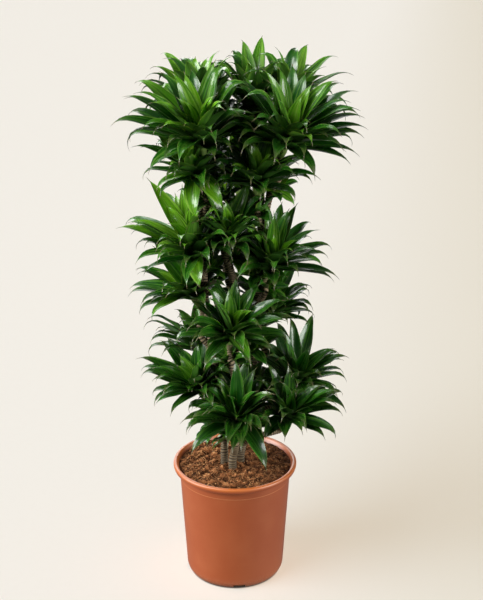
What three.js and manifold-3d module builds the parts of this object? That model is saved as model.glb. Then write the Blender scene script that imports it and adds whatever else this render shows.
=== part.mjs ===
// A branched corn plant in its grow pot: three ringed canes standing in coir soil, each cane
// branching into heads of strap-shaped leaves. Millimetres, +Z up, origin at the centre of the
// pot's underside.
import * as THREE from 'three';
import { mergeVertices } from 'three/addons/utils/BufferGeometryUtils.js';
import Module from 'manifold-3d';

const wasm = await Module();
wasm.setup();

// ---- driving dimensions -------------------------------------------------------------------

const GAP = 0.3; // clearance kept between neighbouring pieces
const CLOSEST = 0.01; // no two corners of a fused piece lie closer
const THINNEST = 0.001; // no facet of a fused piece is narrower

// pot
const POT_HEIGHT = 265;
const RIM_RADIUS = 135;
const RIM_INNER_RADIUS = 127;
const LIP_HEIGHT = 13;
const BASE_RADIUS = 106; // outer radius just above the rounded bottom corner
const FOOT_RADIUS = 94; // radius of the flat underside
const WALL_TOP_RADIUS = 123; // outer radius just under the lip
const WALL = 2.6;
const FLOOR = 3.2;
const STEP_HEIGHT = 233; // moulded step round the wall, under the lip
const STEP_DEPTH = 1.4;
const SEGMENTS = 32; // facets round the pot and the soil, alike so that they nest
const CORNER_HEIGHT = 14; // height of the rounded bottom corner
const DRAIN_COUNT = 4; // slots cut through the bottom corner
const DRAIN_WIDTH = 27;
const DRAIN_HEIGHT = 11.5;
const DRAIN_TURN = 5.5; // degrees from the front to the first slot
const DRAIN_REACH = 40; // radial length of a slot's cutter
const DRAIN_INSET = 6; // how far a slot reaches inside the foot's radius

// soil
const SOIL_TOP = 258;
const SOIL_EDGE_DROP = 1.5; // the soil settles lower along the wall
const SOIL_RINGS = [0, 24, 48, 72, 96];
const SOIL_MOUND = 7;
const SOIL_MOUND_SPREAD = 55;

// canes
const CANE_BURIED_Z = 165; // how far the canes reach down into the soil
const CANE_PLAIN_TOP = 268; // the rings start above the soil
const CANE_UPRIGHT = 12; // length of the first, upright stretch above the soil
const HOLE_PLAY = 0.1; // how much wider than the gap a cane's hole in the soil is
const HEAD_APPROACH = 22; // length of the straight end of a cane under its head
const RING_PITCH = 54; // larger than life: one ring stands for several leaf scars
const RING_RELIEF = 0.75;
const TRUNK_SIDES = 7;
const SHOOT_SIDES = 5;
const SHOOT_RADIUS = 6.6;
const SHOOT_TIP_RADIUS = 5.8;
const SHOOT_TURNS = Array.from({ length: 30 }, (_, i) => i * 0.04); // of a shoot's facets, in radians
const TRUNK_TIP_RADIUS = 6.8;

// leaves
const LEAF_LENGTH = 178;
const LEAF_WIDTH = 34.5;
const LEAF_ROOT_WIDTH = 0.42; // share of the full width where a blade leaves the stem
const LEAF_RIB = 2.3; // thickness along the middle at the root
const LEAF_RIB_TIP = 1.2;
const LEAF_STEPS = 24; // steps of the midrib's curve
const LEAF_STATIONS = [0.28, 0.66]; // where the blade has a cross-section, between root and tip
const YOUNG_STATIONS = [0.42];
const YOUNG_AGE = 0.48; // younger leaves are nearly straight
const GOLDEN_ANGLE = 137.508;
const WIDEST = 0.42; // share of the length where a blade is widest
const TAPER_START = 0.4;
const TAPER_POWER = 2.1;
const GROWN_AGE = 0.3; // leaves older than this have their full length and width
const AGED = 0.6; // leaves older than this are shorter again
const SMALL_HEAD_WIDTH = 0.45; // share of the width that does not shrink with a head's size
const FOLD_START = 0.62; // where along a blade a fold starts and ends
const FOLD_END = 0.84;
const CURL_START = 0.7; // where the curl of the tip starts
const CURL_POWER = 1.4;
const TURN_SPREAD = 9; // degrees at random off the golden angle
const SLOPE_YOUNG = 12; // degrees between the stem and a young leaf at its root
const SLOPE_GAIN = 56; // degrees that the oldest leaf lies further out
const SLOPE_POWER = 2.2;
const SLOPE_SPREAD = 7; // at random, as the next spreads are
const DROOP_YOUNG = 8; // degrees that a young leaf bends down between root and tip
const DROOP_GAIN = 15;
const DROOP_SPREAD = 7;
const DROOP_POWER = 1.8;
const LENGTH_EVEN = 0.97; // share of the length that leaves of one age have alike
const LENGTH_SPREAD = 0.09;
const YOUNG_WIDTH = 0.86; // share of the full width that the youngest leaf has
const ROLL_SPREAD = 12; // degrees that a blade turns round its rib
const OLD_ROLL_SPREAD = 14; // added for the oldest leaf
const SWAY_SPREAD = 0.09; // share of the length that a tip lies to one side
const FOLD_MIDDLE = 36; // degrees of a fold near a leaf's end
const FOLD_SPREAD = 18;
const FOLD_CHANCE = 0.3; // draws above this fold a leaf
const CURL_YOUNG = 56; // degrees that a tip curls over
const CURL_GAIN = 44; // added for the oldest leaf
const CURL_SPREAD = 0.4; // share of the curl
const CUP_ROOT = 0.5; // how high the edges stand above the rib, in half widths
const CUP_TIP = 0.24;
const LEAST_SLOPE = 3; // degrees between the stem and the youngest leaf
const ROOT_DEPTH = 3; // below the crown, where the youngest leaf starts
const ROOT_OUT = 2; // from the stem's axis to a blade's start
const ROOT_OUT_YOUNG = 1.5; // added for the youngest leaf
const CORE_SIDES = 4;
const CORE_RADIUS = 8;
const CORE_TOP_RADIUS = 4.5;
const CORE_SWELL_HEIGHT = 7; // above its foot, where a leafy stem reaches its full radius
const CORE_TAPER_DEPTH = 6; // below the crown, where it starts to taper
const CORE_TOP_HEIGHT = 3; // above the crown
const LEAFY_SHARE = 0.6; // share of a leafy stem that bears leaves, from the crown down
const UPRIGHT_PULL = 0.8; // how far the oldest leaves spread round the upright, not round the stem
const FOLD_AGE = 0.3; // only older leaves fold over near their end
const DROOP_AGE = 0.4; // older leaves droop alike
const LEAN_OPENING = 62; // degrees that a leaning head's youngest leaves open on its lower side
const LEAN_OPEN_AGE = 0.45; // older leaves do not open further there
const LEAN_CURL = 50; // degrees that the young leaves' ends curl over there
const LEAN_SHORTENING = 0.35; // share of the length that leaves lose there
const LEAN_UNFOLDING = 1.6; // share of the fold that they lose there
const LEAN_LENGTHENING = 0.2; // share of the length that leaves gain on the upper side
const LEAN_RAISING = 24; // degrees that the oldest leaves are raised on the lower side
const CROWD_REACH = 1.5; // heads within this many leaf lengths crowd each other
const CROWD_EFFECT = 0.3; // share that crowding takes off a leaf's length and slope

function head(name, crown, lean, size, stem, leaves) {
  return { name: `head_${name}`, crown, lean, size, stem, leaves };
}

// Each head: its crown (where the young leaves meet), the lean of its axis as sideways travel
// per unit of height, its size against a full-grown head, its leafy stem's length and its leaves.
const HEADS = [
  head('top_front_left', [-67, -50, 1007], [-0.12, -0.52], 1.08, 56, 24),
  head('top_front_right', [105, -41, 1003], [0.24, -0.5], 1.06, 56, 24),
  head('top_back_middle', [36, 74, 1050], [0.06, 0], 0.94, 50, 18),
  head('top_back_left', [-70, 58, 1046], [-0.24, 0.02], 0.96, 50, 18),
  head('top_back_right', [104, 66, 1046], [0.2, 0.02], 0.94, 50, 18),
  head('upper_left', [-79, -26, 927], [-0.3, -0.44], 0.86, 46, 19),
  head('upper_right', [45, -32, 913], [0.04, -0.42], 0.9, 46, 19),
  head('upper_back', [6, 88, 885], [-0.05, 0.04], 0.86, 48, 18),
  head('middle_left', [-84, -35, 768], [-0.3, -0.36], 0.98, 54, 23),
  head('middle_low_left', [-93, 4, 660], [-0.44, -0.38], 0.96, 46, 20),
  head('middle_right', [72, -27, 736], [0.22, -0.4], 0.86, 52, 23),
  head('middle_back', [-24, 84, 750], [-0.05, 0.3], 0.88, 50, 18),
  head('middle_front', [-13, -42, 795], [0.04, -0.34], 0.84, 44, 17),
  head('lower_front', [-8, -63, 596], [0.04, -0.5], 0.9, 44, 21),
  head('lower_right', [74, 42, 604], [0.34, -0.06], 0.82, 48, 20),
  head('lower_back_left', [-76, 62, 520], [-0.2, 0.26], 0.82, 46, 17),
  head('bottom_left', [-78, -16, 451], [-0.32, -0.44], 0.86, 48, 21),
  head('bottom_right', [129, 13, 454], [0.3, -0.38], 0.86, 50, 21),
  head('bottom_front_right', [110, -47, 400], [0.26, -0.46], 0.9, 40, 19),
  head('bottom_front', [6, -67, 403], [0.02, -0.5], 0.94, 40, 21),
  head('bottom_back', [20, 84, 400], [0.04, 0.26], 0.84, 44, 17),
];

// Each cane: the points its trunk passes above the soil, and its shoots. A shoot leaves the
// trunk at a height, passes its points and ends under its head. The trunk's own head is 'top'.
const CANES = [
  {
    name: 'cane_left',
    radius: 8,
    foot: [-23, -10],
    trunk: [
      [-23, -10, 330], [-32, -6, 430], [-48, -8, 540], [-60, -9, 637], [-64, -6, 728], [-62, 4, 830],
    ],
    top: { head: 'head_top_back_left', via: [[-66, 40, 935]] },
    shoots: [
      { head: 'head_top_front_left', from: 812, via: [[-53, -21, 882]] },
      { head: 'head_upper_left', from: 780, via: [[-71, -6, 828]] },
      { head: 'head_middle_left', from: 668, via: [[-74, -26, 705]] },
      { head: 'head_middle_low_left', from: 528, via: [[-74, -6, 570]] },
      { head: 'head_lower_back_left', from: 392, via: [[-52, 32, 432]] },
      { head: 'head_bottom_left', from: 338, via: [[-48, -14, 376]] },
    ],
  },
  {
    name: 'cane_front',
    radius: 8.8,
    foot: [-5, -33],
    trunk: [
      [3, -33, 330], [5, -27, 420], [2, -20, 501], [4, -12, 600], [2, -6, 668], [-20, 4, 741],
      [-16, 28, 820],
    ],
    top: { head: 'head_top_back_middle', via: [[4, 56, 920]] },
    shoots: [
      { head: 'head_upper_back', from: 770, via: [[-4, 62, 810]] },
      { head: 'head_middle_front', from: 684, via: [[-11, -26, 732]] },
      { head: 'head_middle_back', from: 610, via: [[-10, 40, 650]] },
      { head: 'head_lower_front', from: 462, via: [[-4, -50, 500]] },
      { head: 'head_bottom_front', from: 300, via: [[3, -52, 332]] },
    ],
  },
  {
    name: 'cane_right',
    radius: 8.2,
    foot: [13, -4],
    trunk: [[24, -3, 340], [36, 2, 450], [44, 6, 560], [52, 10, 680], [60, 6, 800], [74, 8, 880]],
    top: { head: 'head_top_back_right', via: [[90, 44, 960]] },
    shoots: [
      { head: 'head_top_front_right', from: 868, via: [[92, -24, 920]] },
      { head: 'head_upper_right', from: 776, via: [[50, -16, 820]] },
      { head: 'head_middle_right', from: 630, via: [[64, -18, 668]] },
      { head: 'head_lower_right', from: 470, via: [[64, 24, 510]] },
      { head: 'head_bottom_right', from: 360, via: [[80, 4, 396]] },
      { head: 'head_bottom_front_right', from: 310, via: [[62, -36, 345]] },
      { head: 'head_bottom_back', from: 290, via: [[20, 36, 322]] },
    ],
  },
];

// Ways a blade is bent clear of what it would cross: turn round the stem, change of slope (both in
// degrees) and share of its length.
const BENDS = [
  [0, 0, 1], [1.5, 1, 1], [-1.5, -1, 1], [3, -2, 1], [-3, 2, 1],
  [7, 0, 1], [-7, 0, 1], [0, -9, 1], [0, 9, 1], [13, -6, 0.97], [-13, -6, 0.97],
  [10, 10, 0.95], [-10, 10, 0.95], [0, -16, 0.94], [20, -12, 0.92], [-20, -12, 0.92], [0, 0, 0.8],
  [14, 6, 0.78], [-14, 6, 0.78], [0, -14, 0.76], [24, 0, 0.72], [-24, 0, 0.72], [0, 0, 0.62],
];

// ---- small helpers ------------------------------------------------------------------------

const UP = new THREE.Vector3(0, 0, 1);
const radians = THREE.MathUtils.degToRad;
const { lerp, clamp, smoothstep } = THREE.MathUtils;

const vector = (point) => new THREE.Vector3(...point);

// repeatable draws between -1 and 1
function draws(seed) {
  let state = seed;
  return () => {
    state = (state * 1664525 + 1013904223) % 4294967296;
    return state / 2147483648 - 1;
  };
}

function signedVolume(positions, index) {
  const a = new THREE.Vector3();
  const b = new THREE.Vector3();
  const c = new THREE.Vector3();
  let volume = 0;
  for (let i = 0; i < index.length; i += 3) {
    a.fromArray(positions, index[i] * 3);
    b.fromArray(positions, index[i + 1] * 3);
    c.fromArray(positions, index[i + 2] * 3);
    volume += a.dot(b.cross(c)) / 6;
  }
  return volume;
}

// a closed geometry as a solid with its faces pointing out
function solidFrom(geometry) {
  geometry.deleteAttribute('normal');
  geometry.deleteAttribute('uv');
  const merged = mergeVertices(geometry, 1e-4);
  const source = merged.index.array;
  const kept = [];
  for (let i = 0; i < source.length; i += 3) {
    const [a, b, c] = [source[i], source[i + 1], source[i + 2]];
    if (a !== b && b !== c && c !== a) kept.push(a, b, c);
  }
  const positions = merged.attributes.position.array;
  if (signedVolume(positions, kept) < 0) kept.reverse();
  return new wasm.Manifold(new wasm.Mesh({
    numProp: 3,
    vertProperties: new Float32Array(positions),
    triVerts: new Uint32Array(kept),
  }));
}

// whether a fused solid has no needle-thin facet and no two corners that nearly touch
function isSound(solid) {
  const { vertProperties, triVerts } = solid.getMesh();
  const corners = [];
  const seen = new Set();
  for (let i = 0; i < vertProperties.length; i += 3) {
    corners.push(new THREE.Vector3().fromArray(vertProperties, i));
    seen.add([...vertProperties.subarray(i, i + 3)].map((value) => Math.round(value / CLOSEST)).join());
  }
  if (seen.size < corners.length) return false;
  const ab = new THREE.Vector3();
  const ac = new THREE.Vector3();
  for (let i = 0; i < triVerts.length; i += 3) {
    const [a, b, c] = [...triVerts.subarray(i, i + 3)].map((vertex) => corners[vertex]);
    const sides = [a.distanceTo(b), b.distanceTo(c), c.distanceTo(a)];
    const doubleArea = ab.subVectors(b, a).cross(ac.subVectors(c, a)).length();
    if (Math.min(...sides) < CLOSEST || doubleArea < THINNEST * Math.max(...sides)) return false;
  }
  return true;
}

// the outer skin of a fused solid's largest body: loose scraps are dropped, sealed hollows filled
function geometryFrom(solid) {
  const { vertProperties, triVerts } = solid.getMesh();
  const owner = Array.from({ length: vertProperties.length / 3 }, (_, i) => i);
  const rootOf = (i) => {
    while (owner[i] !== i) {
      owner[i] = owner[owner[i]];
      i = owner[i];
    }
    return i;
  };
  for (let i = 0; i < triVerts.length; i += 3) {
    owner[rootOf(triVerts[i + 1])] = rootOf(triVerts[i]);
    owner[rootOf(triVerts[i + 2])] = rootOf(triVerts[i]);
  }
  const skins = new Map();
  for (let i = 0; i < triVerts.length; i += 3) {
    const key = rootOf(triVerts[i]);
    if (!skins.has(key)) skins.set(key, []);
    skins.get(key).push(triVerts[i], triVerts[i + 1], triVerts[i + 2]);
  }
  const largest = [...skins.values()].reduce((best, skin) => (
    signedVolume(vertProperties, skin) > signedVolume(vertProperties, best) ? skin : best));
  const places = new Map();
  const positions = [];
  const index = largest.map((vertex) => {
    if (!places.has(vertex)) {
      places.set(vertex, places.size);
      positions.push(...vertProperties.subarray(vertex * 3, vertex * 3 + 3));
    }
    return places.get(vertex);
  });
  const geometry = new THREE.BufferGeometry();
  geometry.setAttribute('position', new THREE.Float32BufferAttribute(positions, 3));
  geometry.setIndex(index);
  return geometry;
}

// a closed skin through rings of points that all hold the same count; an end ring of one point
// closes the skin to a tip there, and any other end is flat
function loft(rings) {
  const count = Math.max(...rings.map((ring) => ring.length));
  const starts = [];
  let total = 0;
  for (const ring of rings) {
    starts.push(total);
    total += ring.length;
  }
  const index = [];
  for (let ring = 1; ring < rings.length; ring += 1) {
    const low = starts[ring - 1];
    const high = starts[ring];
    for (let i = 0; i < count; i += 1) {
      const next = (i + 1) % count;
      if (rings[ring - 1].length === 1) {
        index.push(low, high + next, high + i);
      } else if (rings[ring].length === 1) {
        index.push(low + i, low + next, high);
      } else if (i % 2 === 0) {
        index.push(low + i, low + next, high + i, low + next, high + next, high + i);
      } else {
        index.push(low + i, low + next, high + next, low + i, high + next, high + i);
      }
    }
  }
  if (rings[0].length === count) {
    for (let i = 1; i < count - 1; i += 1) index.push(0, i + 1, i);
  }
  if (rings.at(-1).length === count) {
    const last = starts.at(-1);
    for (let i = 1; i < count - 1; i += 1) index.push(last, last + i, last + i + 1);
  }
  const geometry = new THREE.BufferGeometry();
  const positions = rings.flat().flatMap((point) => point.toArray());
  geometry.setAttribute('position', new THREE.Float32BufferAttribute(positions, 3));
  geometry.setIndex(index);
  return geometry;
}

// a ring of points round a place, square to a direction
function ringAround(place, direction, radius, sides, turn = 0) {
  const side = new THREE.Vector3(1, 0, 0).addScaledVector(direction, -direction.x).normalize();
  const across = new THREE.Vector3().crossVectors(direction, side);
  return Array.from({ length: sides }, (_, i) => {
    const angle = turn + (2 * Math.PI * i) / sides;
    return place.clone()
      .addScaledVector(side, radius * Math.cos(angle))
      .addScaledVector(across, radius * Math.sin(angle));
  });
}

// ---- pot ----------------------------------------------------------------------------------

function wallRadius(z) {
  return lerp(BASE_RADIUS, WALL_TOP_RADIUS, z / (POT_HEIGHT - LIP_HEIGHT));
}

function innerRadius(z) {
  const lipBottom = POT_HEIGHT - LIP_HEIGHT;
  if (z < lipBottom) return wallRadius(z) - WALL;
  return lerp(wallRadius(lipBottom) - WALL, RIM_INNER_RADIUS, (z - lipBottom) / LIP_HEIGHT);
}

function makePot() {
  const lipBottom = POT_HEIGHT - LIP_HEIGHT;
  const outline = [
    [0, 0], [FOOT_RADIUS, 0], [FOOT_RADIUS + 8, 4], [wallRadius(CORNER_HEIGHT), CORNER_HEIGHT],
    [wallRadius(STEP_HEIGHT) - STEP_DEPTH, STEP_HEIGHT - 1], [wallRadius(STEP_HEIGHT), STEP_HEIGHT + 1],
    [WALL_TOP_RADIUS, lipBottom], [RIM_RADIUS - 2, lipBottom + 1], [RIM_RADIUS, POT_HEIGHT - 6],
    [RIM_RADIUS - 2.5, POT_HEIGHT - 1], [RIM_INNER_RADIUS, POT_HEIGHT],
    [innerRadius(lipBottom), lipBottom], [innerRadius(CORNER_HEIGHT), CORNER_HEIGHT],
    [FOOT_RADIUS + 3, FLOOR], [0, FLOOR],
  ];
  const points = outline.map(([radius, z]) => new THREE.Vector2(radius, z));
  const body = new THREE.LatheGeometry(points, SEGMENTS);
  body.rotateX(Math.PI / 2);
  let pot = solidFrom(body);
  for (let i = 0; i < DRAIN_COUNT; i += 1) {
    const slot = new THREE.BoxGeometry(DRAIN_WIDTH, DRAIN_REACH, 2 * DRAIN_HEIGHT);
    slot.translate(0, -(FOOT_RADIUS + DRAIN_REACH / 2 - DRAIN_INSET), 0);
    slot.rotateZ(radians(DRAIN_TURN + (360 * i) / DRAIN_COUNT));
    pot = pot.subtract(solidFrom(slot));
  }
  return pot;
}

// ---- soil ---------------------------------------------------------------------------------

function soilHeight(x, y) {
  const lumps = 1.9 * Math.sin(x * 0.093 + 0.8) * Math.cos(y * 0.081)
    + 1.3 * Math.sin(x * 0.17 - y * 0.14 + 2.1);
  const mound = SOIL_MOUND * Math.exp(-(x * x + y * y) / (SOIL_MOUND_SPREAD * SOIL_MOUND_SPREAD));
  return SOIL_TOP + lumps + mound;
}

function makeSoil(caneHoles) {
  const bottom = FLOOR + GAP;
  const edge = SOIL_TOP - SOIL_EDGE_DROP;
  const lipBottom = POT_HEIGHT - LIP_HEIGHT;
  const outline = [
    [0, bottom], [FOOT_RADIUS + 2, bottom], [innerRadius(CORNER_HEIGHT) - 2 * GAP, CORNER_HEIGHT + GAP],
    [innerRadius(lipBottom) - 2 * GAP, lipBottom], [innerRadius(edge) - 2 * GAP, edge],
    ...SOIL_RINGS.toReversed().map((radius) => [radius, SOIL_TOP]),
  ];
  const body = new THREE.LatheGeometry(outline.map(([r, z]) => new THREE.Vector2(r, z)), SEGMENTS);
  body.rotateX(Math.PI / 2);
  const place = body.attributes.position;
  for (let i = 0; i < place.count; i += 1) {
    if (place.getZ(i) > SOIL_TOP - 1) place.setZ(i, soilHeight(place.getX(i), place.getY(i)));
  }
  return caneHoles.reduce((soil, hole) => soil.subtract(hole), solidFrom(body));
}

// ---- canes --------------------------------------------------------------------------------

const headNamed = new Map(HEADS.map((head) => [head.name, head]));

function axisOf(head) {
  return new THREE.Vector3(head.lean[0], head.lean[1], 1).normalize();
}

// where the head's leafy stem stands on its cane
function footOf(head) {
  return vector(head.crown).addScaledVector(axisOf(head), -head.stem * head.size);
}

// the last points of a cane that ends square under its head
function approach(head) {
  const foot = footOf(head);
  const axis = axisOf(head);
  return [foot.clone().addScaledVector(axis, -HEAD_APPROACH), foot.addScaledVector(axis, -GAP)];
}

// rings along a cane or a shoot, alternately wide and narrow, for its leaf scars
function caneRings(curve, radius, tipRadius, sides, turn = 0) {
  const count = Math.max(2, Math.round(curve.getLength() / (RING_PITCH / 2)));
  return Array.from({ length: count + 1 }, (_, i) => {
    const share = i / count;
    const relief = i === 0 || i === count ? 0 : RING_RELIEF * (i % 2 === 0 ? 1 : -1);
    const ringRadius = lerp(radius, tipRadius, share) + relief;
    return ringAround(curve.getPointAt(share), curve.getTangentAt(share), ringRadius, sides, turn);
  });
}

// joins a piece to a solid in the first of several positions that fuses soundly
function fuse(solid, positions, makePiece) {
  for (const position of positions) {
    const joined = solid.add(makePiece(position));
    if (isSound(joined)) return joined;
  }
  throw new Error('no position of a piece fuses soundly');
}

function pointAtHeight(curve, z) {
  let low = 0;
  let high = 1;
  for (let i = 0; i < 30; i += 1) {
    const middle = (low + high) / 2;
    if (curve.getPointAt(middle).z < z) low = middle;
    else high = middle;
  }
  return curve.getPointAt(low);
}

function curveThrough(points) {
  return new THREE.CatmullRomCurve3(points, false, 'centripetal');
}

// a ring round the upright, plain foot of a cane
function footRing(cane, z, radius) {
  return ringAround(vector([...cane.foot, z]), UP, radius, TRUNK_SIDES);
}

// the plain hole in the soil that a cane's foot stands in
function holeSolid(cane) {
  const radius = cane.radius + GAP + HOLE_PLAY;
  const low = footRing(cane, CANE_BURIED_Z - GAP, radius);
  return solidFrom(loft([low, footRing(cane, POT_HEIGHT + SOIL_MOUND, radius)]));
}

function makeCane(cane) {
  const topHead = headNamed.get(cane.top.head);
  const trunk = curveThrough([
    vector([...cane.foot, CANE_PLAIN_TOP]), vector([...cane.foot, CANE_PLAIN_TOP + CANE_UPRIGHT]),
    ...cane.trunk.map(vector), ...cane.top.via.map(vector), ...approach(topHead),
  ]);
  const rings = caneRings(trunk, cane.radius, TRUNK_TIP_RADIUS, TRUNK_SIDES);
  rings[0] = footRing(cane, CANE_PLAIN_TOP, cane.radius);
  let solid = solidFrom(loft([footRing(cane, CANE_BURIED_Z, cane.radius), ...rings]));
  for (const shoot of cane.shoots) {
    const start = pointAtHeight(trunk, shoot.from);
    const curve = curveThrough([start, ...shoot.via.map(vector), ...approach(headNamed.get(shoot.head))]);
    solid = fuse(solid, SHOOT_TURNS, (turn) => solidFrom(
      loft(caneRings(curve, SHOOT_RADIUS, SHOOT_TIP_RADIUS, SHOOT_SIDES, turn))));
  }
  return solid;
}

// ---- leaves -------------------------------------------------------------------------------

// share of the full width along a blade: it swells from the root and runs out to a fine tip
function widthShare(along) {
  const swell = lerp(LEAF_ROOT_WIDTH, 1, Math.sin(Math.min(1, along / WIDEST) * Math.PI / 2));
  return swell * (1 - Math.max(0, (along - TAPER_START) / (1 - TAPER_START)) ** TAPER_POWER);
}

// young and very old leaves are shorter
function lengthShare(age) {
  const grown = Math.sin(Math.min(1, age / GROWN_AGE) * Math.PI / 2);
  return 0.54 + 0.5 * grown - 0.14 * Math.max(0, (age - AGED) / (1 - AGED));
}

// how much a head's neighbours crowd a leaf that heads that way, 0 to 1
function crowding(head, direction) {
  let most = 0;
  for (const other of HEADS) {
    if (other !== head) {
      const towards = vector(other.crown).sub(vector(head.crown));
      const distance = towards.length();
      const facing = Math.max(0, direction.dot(towards) / distance);
      const near = clamp(1.25 - distance / (LEAF_LENGTH * CROWD_REACH), 0, 1);
      most = Math.max(most, facing * facing * near);
    }
  }
  return most;
}

// One leaf by its place in the head: the youngest stand up, the oldest lie out sideways, and some
// fold over near their end. Leaves follow the golden angle round the stem.
function leafPlan(head, rank, draw, bend) {
  const age = 1 - rank / (head.leaves - 1);
  const fullLength = LEAF_LENGTH * head.size * lengthShare(age);
  const fullWidth = LEAF_WIDTH * lerp(SMALL_HEAD_WIDTH, 1, head.size);
  return {
    age,
    azimuth: rank * GOLDEN_ANGLE + TURN_SPREAD * draw(),
    slope: SLOPE_YOUNG + SLOPE_GAIN * (1 - (1 - age) ** SLOPE_POWER) + SLOPE_SPREAD * draw(),
    droop: DROOP_YOUNG + DROOP_GAIN * Math.min(1, age / DROOP_AGE) + DROOP_SPREAD * draw(),
    length: fullLength * (LENGTH_EVEN + LENGTH_SPREAD * draw()),
    width: fullWidth * (YOUNG_WIDTH + (1 - YOUNG_WIDTH) * Math.min(1, age / GROWN_AGE)),
    roll: ROLL_SPREAD * draw() + OLD_ROLL_SPREAD * age * bend(),
    sway: SWAY_SPREAD * bend(),
    fold: (FOLD_MIDDLE + FOLD_SPREAD * bend()) * (bend() > FOLD_CHANCE && age > FOLD_AGE ? 1 : 0),
    curl: (CURL_YOUNG + CURL_GAIN * age) * (1 + CURL_SPREAD * bend()),
  };
}

// the midrib's points and directions, from inside the stem to the tip
function midrib(head, plan, [turn, tilt, share]) {
  const stem = axisOf(head);
  const axis = stem.clone().lerp(UP, UPRIGHT_PULL * plan.age).normalize();
  const [outward] = ringAround(new THREE.Vector3(), axis, 1, 1, radians(plan.azimuth + turn + head.turn));
  const side = new THREE.Vector3().crossVectors(axis, outward).normalize();
  const crowd = CROWD_EFFECT * crowding(head, outward);
  const leaning = outward.x * head.lean[0] + outward.y * head.lean[1];
  const lower = Math.max(0, leaning);
  const upper = Math.max(0, -leaning);
  const opening = LEAN_OPENING * lower * Math.max(0, 1 - plan.age / LEAN_OPEN_AGE)
    - LEAN_RAISING * lower * Math.max(0, plan.age - LEAN_OPEN_AGE);
  const fold = plan.fold * Math.max(0, 1 - LEAN_UNFOLDING * lower);
  const curl = plan.curl + LEAN_CURL * lower * (1 - plan.age);
  const length = plan.length * share * (1 - crowd)
    * (1 - LEAN_SHORTENING * lower + LEAN_LENGTHENING * upper);
  const place = vector(head.crown)
    .addScaledVector(stem, -(ROOT_DEPTH + plan.age * LEAFY_SHARE * head.stem * head.size))
    .addScaledVector(outward, ROOT_OUT + ROOT_OUT_YOUNG * (1 - plan.age));
  const points = [];
  for (let i = 0; i <= LEAF_STEPS; i += 1) {
    const along = i / LEAF_STEPS;
    const slope = Math.max(LEAST_SLOPE, plan.slope * (1 - crowd) + opening + tilt)
      + plan.droop * along ** DROOP_POWER
      + fold * smoothstep(along, FOLD_START, FOLD_END)
      + curl * Math.max(0, (along - CURL_START) / (1 - CURL_START)) ** CURL_POWER;
    const direction = axis.clone().multiplyScalar(Math.cos(radians(slope)))
      .addScaledVector(outward, Math.sin(radians(slope)));
    const swayed = place.clone().addScaledVector(side, plan.sway * length * along * along);
    points.push({ place: swayed, direction });
    place.addScaledVector(direction, length / LEAF_STEPS);
  }
  return { points, side };
}

// a blade with a channelled section: both edges stand above the rib
function bladeSolid(head, plan, way) {
  const { points, side } = midrib(head, plan, way);
  const stations = plan.age < YOUNG_AGE ? YOUNG_STATIONS : LEAF_STATIONS;
  const rings = stations.map((along) => {
    const { place, direction } = points[Math.round(along * LEAF_STEPS)];
    const rolled = side.clone().applyAxisAngle(direction, radians(plan.roll * along));
    const face = new THREE.Vector3().crossVectors(rolled, direction).negate().normalize();
    const half = (plan.width * widthShare(along)) / 2;
    const cup = half * lerp(CUP_ROOT, CUP_TIP, along);
    const rib = lerp(LEAF_RIB, LEAF_RIB_TIP, along);
    return [
      place.clone().addScaledVector(face, cup).addScaledVector(rolled, half),
      place.clone().addScaledVector(face, rib / 2),
      place.clone().addScaledVector(face, cup).addScaledVector(rolled, -half),
      place.clone().addScaledVector(face, -rib / 2),
    ];
  });
  return solidFrom(loft([[points[0].place], ...rings, [points.at(-1).place]]));
}

// the leafy stem in the middle of a head
function coreSolid(head) {
  const axis = axisOf(head);
  const foot = footOf(head);
  const crown = vector(head.crown);
  const rings = [
    ringAround(foot, axis, SHOOT_TIP_RADIUS, CORE_SIDES),
    ringAround(foot.clone().addScaledVector(axis, CORE_SWELL_HEIGHT), axis, CORE_RADIUS, CORE_SIDES),
    ringAround(crown.clone().addScaledVector(axis, -CORE_TAPER_DEPTH), axis, CORE_RADIUS - 1, CORE_SIDES),
    ringAround(crown.clone().addScaledVector(axis, CORE_TOP_HEIGHT), axis, CORE_TOP_RADIUS, CORE_SIDES),
  ];
  return solidFrom(loft(rings));
}

// ---- putting the plant together -----------------------------------------------------------

function boxOf(solid) {
  const { vertProperties } = solid.getMesh();
  return new THREE.Box3().setFromArray(vertProperties);
}

function entry(owner, solid) {
  return { owner, solid, box: boxOf(solid) };
}

function crosses(candidate, placed) {
  return placed.some((other) => other.owner !== candidate.owner && other.box.intersectsBox(candidate.box)
    && candidate.solid.intersect(other.solid).getMesh().triVerts.length > 0);
}

function makeHeads(obstacles) {
  const placed = [...obstacles];
  HEADS.forEach((head, i) => {
    head.turn = i * 47;
    head.core = coreSolid(head);
    placed.push(entry(head.name, head.core));
  });
  return HEADS.map((head, i) => {
    const draw = draws(101 + 17 * i);
    const bend = draws(9001 + 41 * i);
    let solid = head.core;
    for (let rank = 0; rank < head.leaves; rank += 1) {
      const plan = leafPlan(head, rank, draw, bend);
      for (const way of BENDS) {
        const candidate = entry(head.name, bladeSolid(head, plan, way));
        const joined = solid.add(candidate.solid);
        if (!crosses(candidate, placed) && isSound(joined)) {
          placed.push(candidate);
          solid = joined;
          break;
        }
      }
    }
    return { name: head.name, solid };
  });
}

function named(name, solid, colour, roughness) {
  const material = new THREE.MeshStandardMaterial({ color: colour, roughness, metalness: 0 });
  const mesh = new THREE.Mesh(geometryFrom(solid), material);
  mesh.name = name;
  return mesh;
}

const TERRACOTTA = 0xb4603a;
const COIR = 0x6e3f26;
const BARK = 0x8a7350;
const LEAF_GREEN = 0x2f6b1e;

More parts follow.
